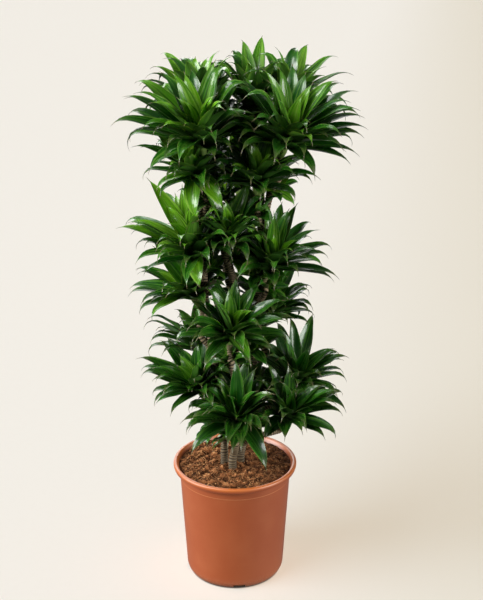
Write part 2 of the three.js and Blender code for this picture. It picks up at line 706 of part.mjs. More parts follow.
const plant = new THREE.Group();
const pot = makePot();
const soil = makeSoil(CANES.map(holeSolid));
const canes = CANES.map((cane) => ({ name: cane.name, solid: makeCane(cane) }));
plant.add(named('pot', pot, TERRACOTTA, 0.45));
plant.add(named('soil', soil, COIR, 0.95));
canes.forEach(({ name, solid }) => plant.add(named(name, solid, BARK, 0.8)));
const obstacles = [{ name: 'pot', solid: pot }, { name: 'soil', solid: soil }, ...canes]
  .map(({ name, solid }) => entry(name, solid));
makeHeads(obstacles).forEach(({ name, solid }) => plant.add(named(name, solid, LEAF_GREEN, 0.35)));

export default plant;
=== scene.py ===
"""A branched corn plant in its grow pot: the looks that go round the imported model.

Metres, +Z up, the front towards -Y. Each operator makes one piece or one group of like pieces
in the place of its solids: the pot, the coir soil, the ringed canes, the heads of leaves, and
the stage with its light and camera.
"""

import math
from collections import namedtuple

import bpy
import numpy as np
from bpy.props import FloatProperty, FloatVectorProperty, IntProperty, PointerProperty
from bpy.types import Operator, Panel, PropertyGroup
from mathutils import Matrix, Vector, noise
from mathutils.bvhtree import BVHTree


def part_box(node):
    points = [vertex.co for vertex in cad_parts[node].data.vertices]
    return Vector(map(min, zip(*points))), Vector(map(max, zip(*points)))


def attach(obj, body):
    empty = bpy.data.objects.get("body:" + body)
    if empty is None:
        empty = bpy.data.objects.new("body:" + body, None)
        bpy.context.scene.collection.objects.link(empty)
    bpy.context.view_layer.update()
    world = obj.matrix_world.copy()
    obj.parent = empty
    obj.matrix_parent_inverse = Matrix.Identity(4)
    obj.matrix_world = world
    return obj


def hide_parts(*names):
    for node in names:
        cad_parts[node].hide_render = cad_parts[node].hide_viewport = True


bl_info = {
    "name": "Potted corn plant",
    "version": (1, 0, 0),
    "blender": (4, 5, 0),
    "location": "View3D > Sidebar > Corn plant",
    "description": "Makes the pot, soil, ringed canes and leafy heads of a branched corn plant",
    "category": "Add Mesh",
}

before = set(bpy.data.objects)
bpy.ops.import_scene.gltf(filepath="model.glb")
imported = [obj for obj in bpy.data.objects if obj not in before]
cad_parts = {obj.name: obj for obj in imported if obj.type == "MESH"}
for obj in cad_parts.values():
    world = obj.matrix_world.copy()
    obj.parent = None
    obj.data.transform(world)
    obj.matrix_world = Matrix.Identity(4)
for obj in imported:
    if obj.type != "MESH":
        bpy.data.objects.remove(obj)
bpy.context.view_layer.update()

# ---- where the plant grows ------------------------------------------------------------------

# Each head: its crown (where the young leaves meet), the lean of its axis as sideways travel
# per unit of height, its size against a full-grown head, its leafy stem's length and the
# number of leaves that its solid has.
Head = namedtuple("Head", "name crown lean size stem leaves")
HEADS = [
    Head("top_front_left", (-0.067, -0.050, 1.007), (-0.12, -0.52), 1.08, 0.056, 24),
    Head("top_front_right", (0.105, -0.041, 1.003), (0.24, -0.50), 1.06, 0.056, 24),
    Head("top_back_middle", (0.036, 0.074, 1.050), (0.06, 0.00), 0.94, 0.050, 18),
    Head("top_back_left", (-0.070, 0.058, 1.046), (-0.24, 0.02), 0.96, 0.050, 18),
    Head("top_back_right", (0.104, 0.066, 1.046), (0.20, 0.02), 0.94, 0.050, 18),
    Head("upper_left", (-0.079, -0.026, 0.927), (-0.30, -0.44), 0.86, 0.046, 19),
    Head("upper_right", (0.045, -0.032, 0.913), (0.04, -0.42), 0.90, 0.046, 19),
    Head("upper_back", (0.006, 0.088, 0.885), (-0.05, 0.04), 0.86, 0.048, 18),
    Head("middle_left", (-0.084, -0.035, 0.768), (-0.30, -0.36), 0.98, 0.054, 23),
    Head("middle_low_left", (-0.093, 0.004, 0.660), (-0.44, -0.38), 0.96, 0.046, 20),
    Head("middle_right", (0.072, -0.027, 0.736), (0.22, -0.40), 0.86, 0.052, 23),
    Head("middle_back", (-0.024, 0.084, 0.750), (-0.05, 0.30), 0.88, 0.050, 18),
    Head("middle_front", (-0.013, -0.042, 0.795), (0.04, -0.34), 0.84, 0.044, 17),
    Head("lower_front", (-0.008, -0.063, 0.596), (0.04, -0.50), 0.90, 0.044, 21),
    Head("lower_right", (0.074, 0.042, 0.604), (0.34, -0.06), 0.82, 0.048, 20),
    Head("lower_back_left", (-0.076, 0.062, 0.520), (-0.20, 0.26), 0.82, 0.046, 17),
    Head("bottom_left", (-0.078, -0.016, 0.451), (-0.32, -0.44), 0.86, 0.048, 21),
    Head("bottom_right", (0.129, 0.013, 0.454), (0.30, -0.38), 0.86, 0.050, 21),
    Head("bottom_front_right", (0.110, -0.047, 0.400), (0.26, -0.46), 0.90, 0.040, 19),
    Head("bottom_front", (0.006, -0.067, 0.403), (0.02, -0.50), 0.94, 0.040, 21),
    Head("bottom_back", (0.020, 0.084, 0.400), (0.04, 0.26), 0.84, 0.044, 17),
]
HEAD_NAMED = {head.name: head for head in HEADS}

# Each cane: the radius and place of its foot, the points that its trunk passes above the soil,
# and its shoots. A shoot leaves the trunk at a height, passes a point and ends under its head.
Shoot = namedtuple("Shoot", "head start via")
Cane = namedtuple("Cane", "name radius foot trunk top via shoots")
CANES = [
    Cane(
        "cane_left", 0.0080, (-0.023, -0.010),
        [(-0.023, -0.010, 0.330), (-0.032, -0.006, 0.430), (-0.048, -0.008, 0.540),
         (-0.060, -0.009, 0.637), (-0.064, -0.006, 0.728), (-0.062, 0.004, 0.830)],
        "top_back_left", (-0.066, 0.040, 0.935),
        [Shoot("top_front_left", 0.812, (-0.053, -0.021, 0.882)),
         Shoot("upper_left", 0.780, (-0.071, -0.006, 0.828)),
         Shoot("middle_left", 0.668, (-0.074, -0.026, 0.705)),
         Shoot("middle_low_left", 0.528, (-0.074, -0.006, 0.570)),
         Shoot("lower_back_left", 0.392, (-0.052, 0.032, 0.432)),
         Shoot("bottom_left", 0.338, (-0.048, -0.014, 0.376))],
    ),
    Cane(
        "cane_front", 0.0088, (-0.005, -0.033),
        [(0.003, -0.033, 0.330), (0.005, -0.027, 0.420), (0.002, -0.020, 0.501),
         (0.004, -0.012, 0.600), (0.002, -0.006, 0.668), (-0.020, 0.004, 0.741),
         (-0.016, 0.028, 0.820)],
        "top_back_middle", (0.004, 0.056, 0.920),
        [Shoot("upper_back", 0.770, (-0.004, 0.062, 0.810)),
         Shoot("middle_front", 0.684, (-0.011, -0.026, 0.732)),
         Shoot("middle_back", 0.610, (-0.010, 0.040, 0.650)),
         Shoot("lower_front", 0.462, (-0.004, -0.050, 0.500)),
         Shoot("bottom_front", 0.300, (0.003, -0.052, 0.332))],
    ),
    Cane(
        "cane_right", 0.0082, (0.013, -0.004),
        [(0.024, -0.003, 0.340), (0.036, 0.002, 0.450), (0.044, 0.006, 0.560),
         (0.052, 0.010, 0.680), (0.060, 0.006, 0.800), (0.074, 0.008, 0.880)],
        "top_back_right", (0.090, 0.044, 0.960),
        [Shoot("top_front_right", 0.868, (0.092, -0.024, 0.920)),
         Shoot("upper_right", 0.776, (0.050, -0.016, 0.820)),
         Shoot("middle_right", 0.630, (0.064, -0.018, 0.668)),
         Shoot("lower_right", 0.470, (0.064, 0.024, 0.510)),
         Shoot("bottom_right", 0.360, (0.080, 0.004, 0.396)),
         Shoot("bottom_front_right", 0.310, (0.062, -0.036, 0.345)),
         Shoot("bottom_back", 0.290, (0.020, 0.036, 0.322))],
    ),
]

# ---- the camera's place, fitted to the pot's rim and base in the photograph -------------------

CAMERA_PLACE = (0.0143, -2.5, 1.6)
CAMERA_PITCH = math.radians(21.0)  # below the horizontal
CAMERA_SENSOR = 36.0
CAMERA_LENS = 95.48

# ---- settings ---------------------------------------------------------------------------------


def length_setting(name, default, description):
    """A length that a user may change, in metres."""
    return FloatProperty(name=name, default=default, min=0.0, unit="LENGTH", precision=4,
                         description=description)


def colour_setting(name, default, description):
    """A colour that a user may change."""
    return FloatVectorProperty(name=name, default=default, size=3, min=0.0, max=1.0,
                               subtype="COLOR", description=description)


def strength_setting(name, default, description):
    """A light's strength that a user may change."""
    return FloatProperty(name=name, default=default, min=0.0, description=description)


_, POT_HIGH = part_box("pot")


class PotSettings(PropertyGroup):
    """Sizes and colours of the grow pot."""

    height: length_setting("Height", POT_HIGH.z, "Height of the pot to the top of its lip")
    rim_radius: length_setting("Rim radius", POT_HIGH.x, "Outer radius of the lip")
    base_radius: length_setting("Base radius", 0.106, "Wall radius above the bottom corner")
    wall_top_radius: length_setting("Wall radius at the lip", 0.123, "Wall radius under the lip")
    wall: length_setting("Wall", 0.0026, "Thickness of the wall")
    colour: colour_setting("Colour", (0.298, 0.060, 0.012), "Terracotta-coloured plastic")
    pale_colour: colour_setting("Pale colour", (0.354, 0.088, 0.023), "Where handling has dulled it")
    # Painted glow: the lip's top is painted a brighter orange, as if light shone through the thin
    # plastic.
    lip_painted_glow_colour: colour_setting("Lip colour", (0.460, 0.115, 0.010),
                               "Thin plastic that lets light through")


class SoilSettings(PropertyGroup):
    """Colours and counts of the coir soil."""

    # Used in the soil's hollows, and as the painted shade on the soil's right side.
    dark_and_shade_colour: colour_setting("Dark colour", (0.040, 0.014, 0.005), "Damp coir in the hollows")
    mid_colour: colour_setting("Colour", (0.235, 0.086, 0.030), "Coir on the surface")
    pale_colour: colour_setting("Pale colour", (0.540, 0.280, 0.115), "Dry crumbs and fibres")
    crumbs: IntProperty(name="Crumbs", default=2600, min=0, description="Crumbs of coir pith")
    fibres: IntProperty(name="Fibres", default=520, min=0, description="Loose coir fibres")


class CaneSettings(PropertyGroup):
    """Sizes and colours of the canes."""

    ring_pitch: length_setting("Ring pitch", 0.0052, "Height from one leaf scar to the next")
    ring_relief: length_setting("Ring relief", 0.0014, "Depth of the groove at a leaf scar")
    colour: colour_setting("Colour", (0.135, 0.093, 0.044), "Dry bark of the rings")
    pale_colour: colour_setting("Pale colour", (0.285, 0.222, 0.126), "Raised edges of the rings")
    groove_colour: colour_setting("Groove colour", (0.020, 0.012, 0.006), "The leaf scars")
    green_colour: colour_setting("Green colour", (0.200, 0.215, 0.075), "Young wood under a head")


class LeafSettings(PropertyGroup):
    """Sizes and colours of the leaves."""

    length: length_setting("Length", 0.178, "Length of the longest leaves of a full-grown head")
    width: length_setting("Width", 0.0345, "Width of the broadest leaves")
    thickness: length_setting("Thickness", 0.0005, "Thickness beside the midrib")
    young_colour: colour_setting("Young leaf", (0.098, 0.298, 0.001), "Leaves round the crown")
    colour: colour_setting("Leaf", (0.004, 0.078, 0.001), "Full-grown leaves")
    old_colour: colour_setting("Old leaf", (0.004, 0.036, 0.002), "The oldest leaves")
    under_colour: colour_setting("Underside", (0.050, 0.135, 0.020), "Underside of the leaves")
    # The margin colour is a painted highlight along the blade's edges.
    margin_highlight_colour: colour_setting("Margin", (0.300, 0.420, 0.130), "Thin pale margin")
    tip_colour: colour_setting("Tip", (0.130, 0.105, 0.055), "Dry thread at the tip")


class StageSettings(PropertyGroup):
    """The floor and the light."""

    floor_colour: colour_setting("Floor colour", (0.902, 0.850, 0.770), "Pale seamless floor")
    key_strength: strength_setting("Key light", 2.42, "Soft light from the upper front left")
    fill_strength: strength_setting("Fill light", 1.0, "Softboxes and even light from above")
    floor_strength: strength_setting("Floor light", 2.18, "Even light on the floor alone")
    shade_strength: strength_setting("Floor shade", 1.45, "Light on the floor that the plant shades")


# ---- repeatable draws -------------------------------------------------------------------------


def draws(seed):
    """A function that gives repeatable draws between -1 and 1."""
    state = seed

    def draw():
        nonlocal state
        state = (state * 1664525 + 1013904223) % 4294967296
        return state / 2147483648 - 1

    return draw


def share_draws(seed):
    """A function that gives repeatable draws between 0 and 1."""
    draw = draws(seed)
    return lambda: 0.5 + 0.5 * draw()


# ---- vectors and curves -----------------------------------------------------------------------


def unit(vector):
    """The vector at length 1."""
    return vector / np.linalg.norm(vector)


def smooth_step(value):
    """0 to 1 with soft ends."""
    value = np.clip(value, 0, 1)
    return value * value * (3 - 2 * value)


def side_of(direction):
    """The direction square to the given one that lies nearest to +X."""
    side = np.array([1.0, 0.0, 0.0]) - direction * direction[0]
    return unit(side)


def outward_at(direction, angle):
    """The direction square to the given one at an angle round it from its side."""
    side = side_of(direction)
    return side * math.cos(angle) + np.cross(direction, side) * math.sin(angle)


def catmull_rom(points, steps=36):
    """Points along the centripetal curve through the given points."""
    points = [np.array(point, float) for point in points]
    before = 2 * points[0] - points[1]
    after = 2 * points[-1] - points[-2]
    padded = [before, *points, after]
    result = []
    for i in range(1, len(padded) - 2):
        p0, p1, p2, p3 = padded[i - 1:i + 3]
        d0, d1, d2 = (math.sqrt(np.linalg.norm(b - a)) for a, b in ((p0, p1), (p1, p2), (p2, p3)))
        t1 = ((p1 - p0) / d0 - (p2 - p0) / (d0 + d1) + (p2 - p1) / d1) * d1
        t2 = ((p2 - p1) / d1 - (p3 - p1) / (d1 + d2) + (p3 - p2) / d2) * d1
        for t in np.arange(steps) / steps:
            result.append(p1 + t1 * t + (-3 * p1 + 3 * p2 - 2 * t1 - t2) * t * t
                          + (2 * p1 - 2 * p2 + t1 + t2) * t ** 3)
    result.append(points[-1])
    return np.array(result)


def even_points(path, step):
    """The path's points at even distances, with their directions and the path's length."""
    gaps = np.linalg.norm(np.diff(path, axis=0), axis=1)
    travel = np.concatenate([[0], np.cumsum(gaps)])
    count = max(2, round(travel[-1] / step))
    distances = np.linspace(0, travel[-1], count + 1)
    places = np.stack([np.interp(distances, travel, path[:, k]) for k in range(3)], axis=1)
    directions = np.gradient(places, axis=0)
    directions /= np.linalg.norm(directions, axis=1)[:, None]
    return places, directions, distances


def point_at_height(path, height):
    """Where a path that rises all the way reaches a height."""
    return np.array([np.interp(height, path[:, 2], path[:, k]) for k in range(3)])


# ---- meshes -----------------------------------------------------------------------------------


def mesh_piece(name, points, faces, material, values=None, smooth=True):
    """A mesh object with float values at its points, for its material to read."""
    mesh = bpy.data.meshes.new(name)
    mesh.from_pydata(np.asarray(points).tolist(), [], faces)
    for key, numbers in (values or {}).items():
        attribute = mesh.attributes.new(key, "FLOAT", "POINT")
        attribute.data.foreach_set("value", np.asarray(numbers, np.float32))
    mesh.polygons.foreach_set("use_smooth", np.full(len(mesh.polygons), smooth))
    mesh.materials.append(material)
    mesh.update()
    piece = bpy.data.objects.new(name, mesh)
    bpy.context.scene.collection.objects.link(piece)
    return piece


def settle(piece, slot, *nodes):
    """Attaches the finished piece to the root body and hides the nodes that it stands for; the slot is
    not used.
    """
    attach(piece, "root")
    if nodes:
        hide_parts(*nodes)


def apply_modifiers(piece):
    """Keeps the shape that the piece's modifiers give it."""
    shaped = piece.evaluated_get(bpy.context.evaluated_depsgraph_get())
    mesh = bpy.data.meshes.new_from_object(shaped)
    old = piece.data
    piece.modifiers.clear()
    piece.data = mesh
    bpy.data.meshes.remove(old)
    mesh.name = piece.name


def rounded(outline, steps=5):
    """An outline of (radius, height, rounding) with an arc at each corner that has a rounding."""
    result = []
    for i, (radius, height, rounding) in enumerate(outline):
        if rounding == 0:
            result.append((radius, height))
            continue
        corner = np.array([radius, height])
        before = np.array(outline[i - 1][:2]) - corner
        after = np.array(outline[(i + 1) % len(outline)][:2]) - corner
        reach = min(rounding, 0.48 * np.linalg.norm(before), 0.48 * np.linalg.norm(after))
        start = corner + unit(before) * reach
        end = corner + unit(after) * reach
        for t in np.linspace(0, 1, steps):
            result.append(tuple((1 - t) ** 2 * start + 2 * t * (1 - t) * corner + t * t * end))
    return result


def lathe(outline, segments):
    """Points and faces of an outline turned round the upright axis, closed where it meets it."""
    points = []
    rows = []
    for radius, height in outline:
        if radius < 1e-6:
            rows.append([len(points)] * segments)
            points.append((0, 0, height))
        else:
            rows.append(list(range(len(points), len(points) + segments)))
            turns = 2 * math.pi * np.arange(segments) / segments
            points += [(radius * math.cos(t), radius * math.sin(t), height) for t in turns]
    faces = []
    for low, high in zip(rows, rows[1:]):
        for i in range(segments):
            j = (i + 1) % segments
            face = [low[i], low[j], high[j], high[i]]
            faces.append(tuple(dict.fromkeys(face)))
    return points, faces


def tube(places, directions, radii, turn=0.0):
    """Points and faces of a closed tube; radii holds a row of radii for each place."""
    rows, sides = radii.shape
    angles = turn + 2 * math.pi * np.arange(sides) / sides
    points = []
    for place, direction, row in zip(places, directions, radii):
        side = side_of(direction)
        across = np.cross(direction, side)
        points.append(place + np.outer(row * np.cos(angles), side)
                      + np.outer(row * np.sin(angles), across))
    points = np.concatenate(points)
    faces = []
    for i in range(rows - 1):
        for j in range(sides):
            k = (j + 1) % sides
            faces.append((i * sides + j, i * sides + k, (i + 1) * sides + k, (i + 1) * sides + j))
    faces.append(tuple(range(sides))[::-1])
    faces.append(tuple(range((rows - 1) * sides, rows * sides)))
    return points, faces


# ---- materials --------------------------------------------------------------------------------


class Nodes:
    """Adds and links nodes in a tree."""

    def __init__(self, tree):
        self.tree = tree

    def node(self, kind, inputs=(), **settings):
        """A node with its settings; inputs are pairs of a socket and a value or a link."""
        node = self.tree.nodes.new(kind)
        for key, value in settings.items():
            setattr(node, key, value)
        for key, value in inputs:
            self.put(node.inputs[key], value)
        return node

    def put(self, socket, value):
        """Links a socket, or sets it where the value is plain."""
        if isinstance(value, bpy.types.NodeSocket):
            self.tree.links.new(value, socket)
        else:
            socket.default_value = value

    def sum(self, operation, first, second=0.0, third=0.0):
        """One step of arithmetic."""
        inputs = [(0, first), (1, second), (2, third)]
        return self.node("ShaderNodeMath", inputs, operation=operation).outputs[0]

    def fade(self, value, low, high, start=0.0, end=1.0):
        """A number that goes smoothly from start to end as the value goes from low to high."""
        inputs = [("Value", value), ("From Min", low), ("From Max", high),
                  ("To Min", start), ("To Max", end)]
        node = self.node("ShaderNodeMapRange", inputs, interpolation_type="SMOOTHSTEP")
        return node.outputs["Result"]


class Finish(Nodes):
    """A material that is put together node by node."""

    def __init__(self, name):
        self.material = bpy.data.materials.new(name)
        self.material.use_nodes = True
        super().__init__(self.material.node_tree)
        self.shader = self.tree.nodes["Principled BSDF"]

    def value(self, name):
        """One of the numbers that the mesh holds at its points."""
        return self.node("ShaderNodeAttribute", attribute_name=name).outputs["Fac"]

    def place(self):
        """The surface point in the piece's own frame."""
        return self.node("ShaderNodeTexCoord").outputs["Object"]

    def vector(self, x, y, z):
        """A vector from three numbers."""
        return self.node("ShaderNodeCombineXYZ", [(0, x), (1, y), (2, z)]).outputs[0]

    def stretched(self, vector, scale):
        """A vector scaled along each axis."""
        node = self.node("ShaderNodeVectorMath", [(0, vector), (1, scale)], operation="MULTIPLY")
        return node.outputs[0]

    def noise(self, vector, scale, detail=3.0, roughness=0.55, distortion=0.0):
        """Soft irregular variation between 0 and 1."""
        inputs = [("Vector", vector), ("Scale", scale), ("Detail", detail),
                  ("Roughness", roughness), ("Distortion", distortion)]
        return self.node("ShaderNodeTexNoise", inputs).outputs["Fac"]

    def cells(self, vector, scale):
        """Distances in a pattern of irregular cells."""
        inputs = [("Vector", vector), ("Scale", scale)]
        return self.node("ShaderNodeTexVoronoi", inputs, feature="F1").outputs["Distance"]

    def ramp(self, factor, *stops):
        """A colour from stops of (position, colour)."""
        node = self.node("ShaderNodeValToRGB", [("Fac", factor)])
        elements = node.color_ramp.elements
        while len(elements) < len(stops):
            elements.new(0.5)
        for element, (position, colour) in zip(elements, stops):
            element.position = position
            element.color = (*colour, 1.0)
        return node.outputs["Color"]

    def mix(self, factor, first, second):
        """A colour between two colours."""
        node = self.node("ShaderNodeMix", data_type="RGBA", blend_type="MIX", clamp_factor=True)
        self.put(node.inputs["Factor"], factor)
        for key, colour in ((6, first), (7, second)):
            if not isinstance(colour, bpy.types.NodeSocket):
                colour = (*colour, 1.0)
            self.put(node.inputs[key], colour)
        return node.outputs[2]

    def bump(self, height, distance, strength=1.0, normal=None):
        """A normal that follows a height, whose full range is as deep as the distance."""
        inputs = [("Height", height), ("Distance", distance), ("Strength", strength)]
        if normal is not None:
            inputs.append(("Normal", normal))
        return self.node("ShaderNodeBump", inputs).outputs["Normal"]

    def shade(self, **inputs):
        """Sets the shader's own sockets, by their names with spaces as underscores."""
        for key, value in inputs.items():
            socket = self.shader.inputs[key.replace("_", " ")]
            if socket.type == "RGBA" and not isinstance(value, bpy.types.NodeSocket):
                value = (*value, 1.0)
            self.put(socket, value)
        return self.material


def pot_finish(settings):
    """Satin moulded plastic: faint clouds, fine scuffs round the wall, paler where it is handled; a
    painted glow on the lip's top and a painted highlight along the step.
    """
    finish = Finish("pot_plastic")
    place = finish.place()
    height = finish.node("ShaderNodeSeparateXYZ", [(0, place)]).outputs["Z"]
    clouds = finish.noise(place, 14.0, 4.0)
    scuffs = finish.noise(finish.stretched(place, (30.0, 30.0, 900.0)), 1.0, 2.0)
    specks = finish.noise(place, 420.0, 2.0)
    clouded = finish.fade(clouds, 0.35, 0.70, 0.0, 0.45)
    colour = finish.mix(clouded, settings.colour, settings.pale_colour)
    # Paler in clouds on the lip's top: partly wear, partly painted light on the top that faces up.
    lip_wear_and_light = finish.sum("MULTIPLY", finish.fade(height, 0.258, 0.266), finish.fade(clouds, 0.40, 0.62))
    # Painted glow: the lip's top takes the brighter lip colour.
    colour = finish.mix(finish.fade(height, 0.2575, 0.2625, 0.0, 0.8), colour, settings.lip_painted_glow_colour)
    colour = finish.mix(finish.sum("MULTIPLY", lip_wear_and_light, 0.4), colour, settings.pale_colour)
    dusty = finish.sum("MULTIPLY", finish.fade(height, 0.030, 0.0),
                       finish.fade(specks, 0.45, 0.60, 0.0, 0.4))
    colour = finish.mix(dusty, colour, (0.42, 0.27, 0.17))
    # Painted highlight: a thin pale line along the moulded step, where its edge would catch the light.
    above_step = finish.sum("SUBTRACT", height, STEP_HEIGHT)
    edge = finish.fade(finish.sum("ABSOLUTE", above_step), 0.0022, 0.0006, 0.0, 0.75)
    colour = finish.mix(edge, colour, (0.560, 0.180, 0.060))
    roughness = finish.sum("MULTIPLY_ADD", clouds, 0.12, 0.32)
    roughness = finish.sum("MULTIPLY_ADD", scuffs, 0.10, roughness)
    normal = finish.bump(specks, 0.00012, 0.5)
    normal = finish.bump(scuffs, 0.00005, 0.4, normal)
    normal = finish.bump(finish.noise(place, 9.0, 1.0), 0.0012, 0.35, normal)
    return finish.shade(Base_Color=colour, Roughness=roughness, Normal=normal, IOR=1.52,
                        Coat_Weight=0.72, Coat_Roughness=0.52)


def soil_finish(name, settings, tone=None):
    """Coir: dark in the hollows, red-brown pith, tan threads, painted shade towards the right. A piece
    may bring its own tones.
    """
    finish = Finish(name)
    place = finish.place()
    clumps = finish.noise(place, 60.0, 6.0, 0.65)
    grains = finish.cells(place, 620.0)
    threads = finish.noise(finish.stretched(place, (1.0, 2.6, 1.4)), 300.0, 4.0, 0.6, 2.5)
    if tone:
        shade = finish.sum("MULTIPLY_ADD", clumps, 0.35, finish.value(tone))
    else:
        shade = finish.sum("MULTIPLY_ADD", finish.value("soil_height"), 0.55, clumps)
    colour = finish.ramp(finish.fade(shade, 0.30, 1.15), (0.0, settings.dark_and_shade_colour),
                         (0.45, settings.mid_colour), (0.72, (0.350, 0.145, 0.055)),
                         (1.0, settings.pale_colour))
    # Painted shade: the soil darkens towards the right, as if the plant shaded it.
    side = finish.node("ShaderNodeSeparateXYZ", [(0, place)]).outputs["X"]
    painted_shade_right = finish.fade(side, 0.015, 0.085, 0.0, 0.45)
    colour = finish.mix(painted_shade_right, colour, settings.dark_and_shade_colour)
    thread_share = finish.fade(threads, 0.58, 0.68, 0.0, 0.55)
    colour = finish.mix(thread_share, colour, settings.pale_colour)
    normal = finish.bump(grains, 0.0012, 0.7)
    normal = finish.bump(threads, 0.0010, 0.6, normal)
    return finish.shade(Base_Color=colour, Roughness=finish.sum("MULTIPLY_ADD", clumps, -0.2, 1.0),
                        Normal=normal, Specular_IOR_Level=0.1)


def cane_finish(settings):
    """Ringed bark: pale raised edges, dark grooves, cork flecks, greener wood near a head, and painted
    shade towards the soil.
    """
    finish = Finish("cane_bark")
    place = finish.place()
    ring = finish.value("ring")
    young = finish.value("young_wood")
    patches = finish.noise(place, 55.0, 4.0)
    streaks = finish.noise(finish.stretched(place, (900.0, 900.0, 160.0)), 1.0, 3.0)
    colour = finish.mix(finish.fade(patches, 0.35, 0.68), settings.colour, settings.pale_colour)
    colour = finish.mix(finish.fade(streaks, 0.40, 0.70, 0.0, 0.5), colour, (0.16, 0.11, 0.06))
    colour = finish.mix(finish.sum("MULTIPLY", young, 0.7), colour, settings.green_colour)
    colour = finish.mix(finish.fade(ring, 0.55, 0.95, 0.0, 0.45), colour, settings.pale_colour)
    colour = finish.mix(finish.fade(ring, 0.84, 0.42, 0.0, 0.96), colour, settings.groove_colour)
    # Painted shade: the bark darkens towards the soil, where the foliage shades the canes' feet.
    height = finish.node("ShaderNodeSeparateXYZ", [(0, place)]).outputs["Z"]
    colour = finish.mix(finish.fade(height, 0.340, 0.250, 0.0, 0.78), colour, (0.030, 0.017, 0.005))
    normal = finish.bump(streaks, 0.0006, 0.6)
    normal = finish.bump(finish.noise(place, 420.0, 3.0), 0.0005, 0.5, normal)
    return finish.shade(Base_Color=colour, Roughness=finish.sum("MULTIPLY_ADD", patches, 0.2, 0.58),
                        Normal=normal, Specular_IOR_Level=0.35)


def leaf_finish(settings):
    """Waxy leaf: bright young, deep green full-grown; parallel veins, midrib, painted highlight along
    the margin, dry tip.
    """
    finish = Finish("leaf_blade")
    across = finish.value("leaf_across")
    along = finish.value("leaf_along")
    age = finish.value("leaf_age_and_shade")
    luck = finish.value("leaf_luck")
    under = finish.value("leaf_under")
    place = finish.place()
    from_rib = finish.sum("ABSOLUTE", across)
    shift = finish.sum("MULTIPLY", luck, 37.0)
    veins = finish.noise(finish.vector(finish.sum("MULTIPLY", across, 7.5), along, shift),
                         1.0, 3.0, 0.6)
    bands = finish.noise(finish.vector(finish.sum("MULTIPLY", across, 2.6),
                                       finish.sum("MULTIPLY", along, 1.6), shift), 1.0, 2.0)
    mottle = finish.noise(place, 90.0, 4.0)

    # The age holds each head's painted shade and light as well as the leaf's own age.
    ripeness_and_shade = finish.sum("MULTIPLY_ADD", luck, 0.30, finish.sum("SUBTRACT", age, 0.15))
    colour = finish.ramp(ripeness_and_shade, (0.0, settings.young_colour), (0.20, (0.058, 0.200, 0.002)),
                         (0.42, settings.colour), (0.80, settings.old_colour))
    stripe = finish.ramp(ripeness_and_shade, (0.10, (0.290, 0.450, 0.070)), (0.60, (0.105, 0.290, 0.026)))
    paler = finish.mix(0.6, colour, stripe)
    colour = finish.mix(finish.fade(veins, 0.52, 0.62, 0.0, 0.80), colour, paler)
    colour = finish.mix(finish.fade(veins, 0.48, 0.38, 0.0, 0.80), colour, settings.old_colour)
    colour = finish.mix(finish.fade(bands, 0.50, 0.75, 0.0, 0.40), colour, paler)
    colour = finish.mix(finish.fade(mottle, 0.55, 0.80, 0.0, 0.25), colour, settings.old_colour)
    colour = finish.mix(finish.fade(from_rib, 0.07, 0.02, 0.0, 0.45), colour, paler)
    sheath = finish.fade(along, 0.10, 0.0, 0.0, 0.75)
    colour = finish.mix(sheath, colour, (0.33, 0.42, 0.14))
    under_colour = finish.mix(finish.fade(veins, 0.4, 0.7, 0.15, 0.55), settings.under_colour, colour)
    colour = finish.mix(under, colour, under_colour)
    # Painted highlight: a thin pale line along the margins, as if they caught the light.
    margin = finish.fade(from_rib, 0.94, 0.995, 0.0, 0.40)
    colour = finish.mix(margin, colour, settings.margin_highlight_colour)
    drying = finish.sum("MULTIPLY", finish.fade(along, 0.72, 0.92),
                        finish.fade(ripeness_and_shade, 0.40, 0.90, 0.0, 0.6))
    colour = finish.mix(drying, colour, (0.075, 0.070, 0.022))
    colour = finish.mix(finish.fade(along, 0.90, 0.95), colour, settings.tip_colour)

    roughness = finish.sum("MULTIPLY_ADD", mottle, 0.14, 0.22)
    roughness = finish.sum("MULTIPLY_ADD", under, 0.16, roughness)
    ribs = finish.bump(veins, 0.0011, 0.75)
    normal = finish.bump(finish.noise(place, 700.0, 2.0), 0.00008, 0.5, ribs)
    return finish.shade(Base_Color=colour, Roughness=roughness, Normal=normal, IOR=1.47,
                        Specular_IOR_Level=0.3, Subsurface_Weight=0.12,
                        Subsurface_Radius=Vector((0.6, 1.0, 0.15)), Subsurface_Scale=0.0015,
                        Coat_Weight=0.50, Coat_Roughness=0.13)


def floor_finish(settings):
    """Matt seamless paper, with painted shade: warmer and darker to the right, and a painted shadow
    where the pot stands on it.
    """
    finish = Finish("floor_paper")
    place = finish.place()
    parts = finish.node("ShaderNodeSeparateXYZ", [(0, place)]).outputs
    # Painted shade: the floor grows warmer and darker towards the right.
    side = finish.sum("MULTIPLY_ADD", parts["Y"], -0.16, parts["X"])
    fibre = finish.noise(place, 55.0, 4.0)
    warm = tuple(np.array(settings.floor_colour) * (0.875, 0.85, 0.785))
    colour = finish.mix(finish.fade(side, -0.35, 0.85), settings.floor_colour, warm)
    colour = finish.mix(finish.fade(fibre, 0.35, 0.70, 0.0, 0.05), colour, (0.80, 0.75, 0.67))
    # Painted shadow: the floor is painted dark under the pot's foot and just round it.
    square = finish.sum("MULTIPLY_ADD", parts["X"], parts["X"],
                        finish.sum("MULTIPLY", parts["Y"], parts["Y"]))
    radius = finish.sum("SQRT", square)
    painted_contact_shadow = finish.fade(radius, FOOT_RADIUS + 0.008, FOOT_RADIUS + 0.002, 0.0, 0.96)
    colour = finish.mix(painted_contact_shadow, colour, (0.020, 0.014, 0.010))
    return finish.shade(Base_Color=colour, Roughness=0.9, Specular_IOR_Level=0.15,
                        Normal=finish.bump(fibre, 0.0002, 0.3))


# ---- the pot ----------------------------------------------------------------------------------

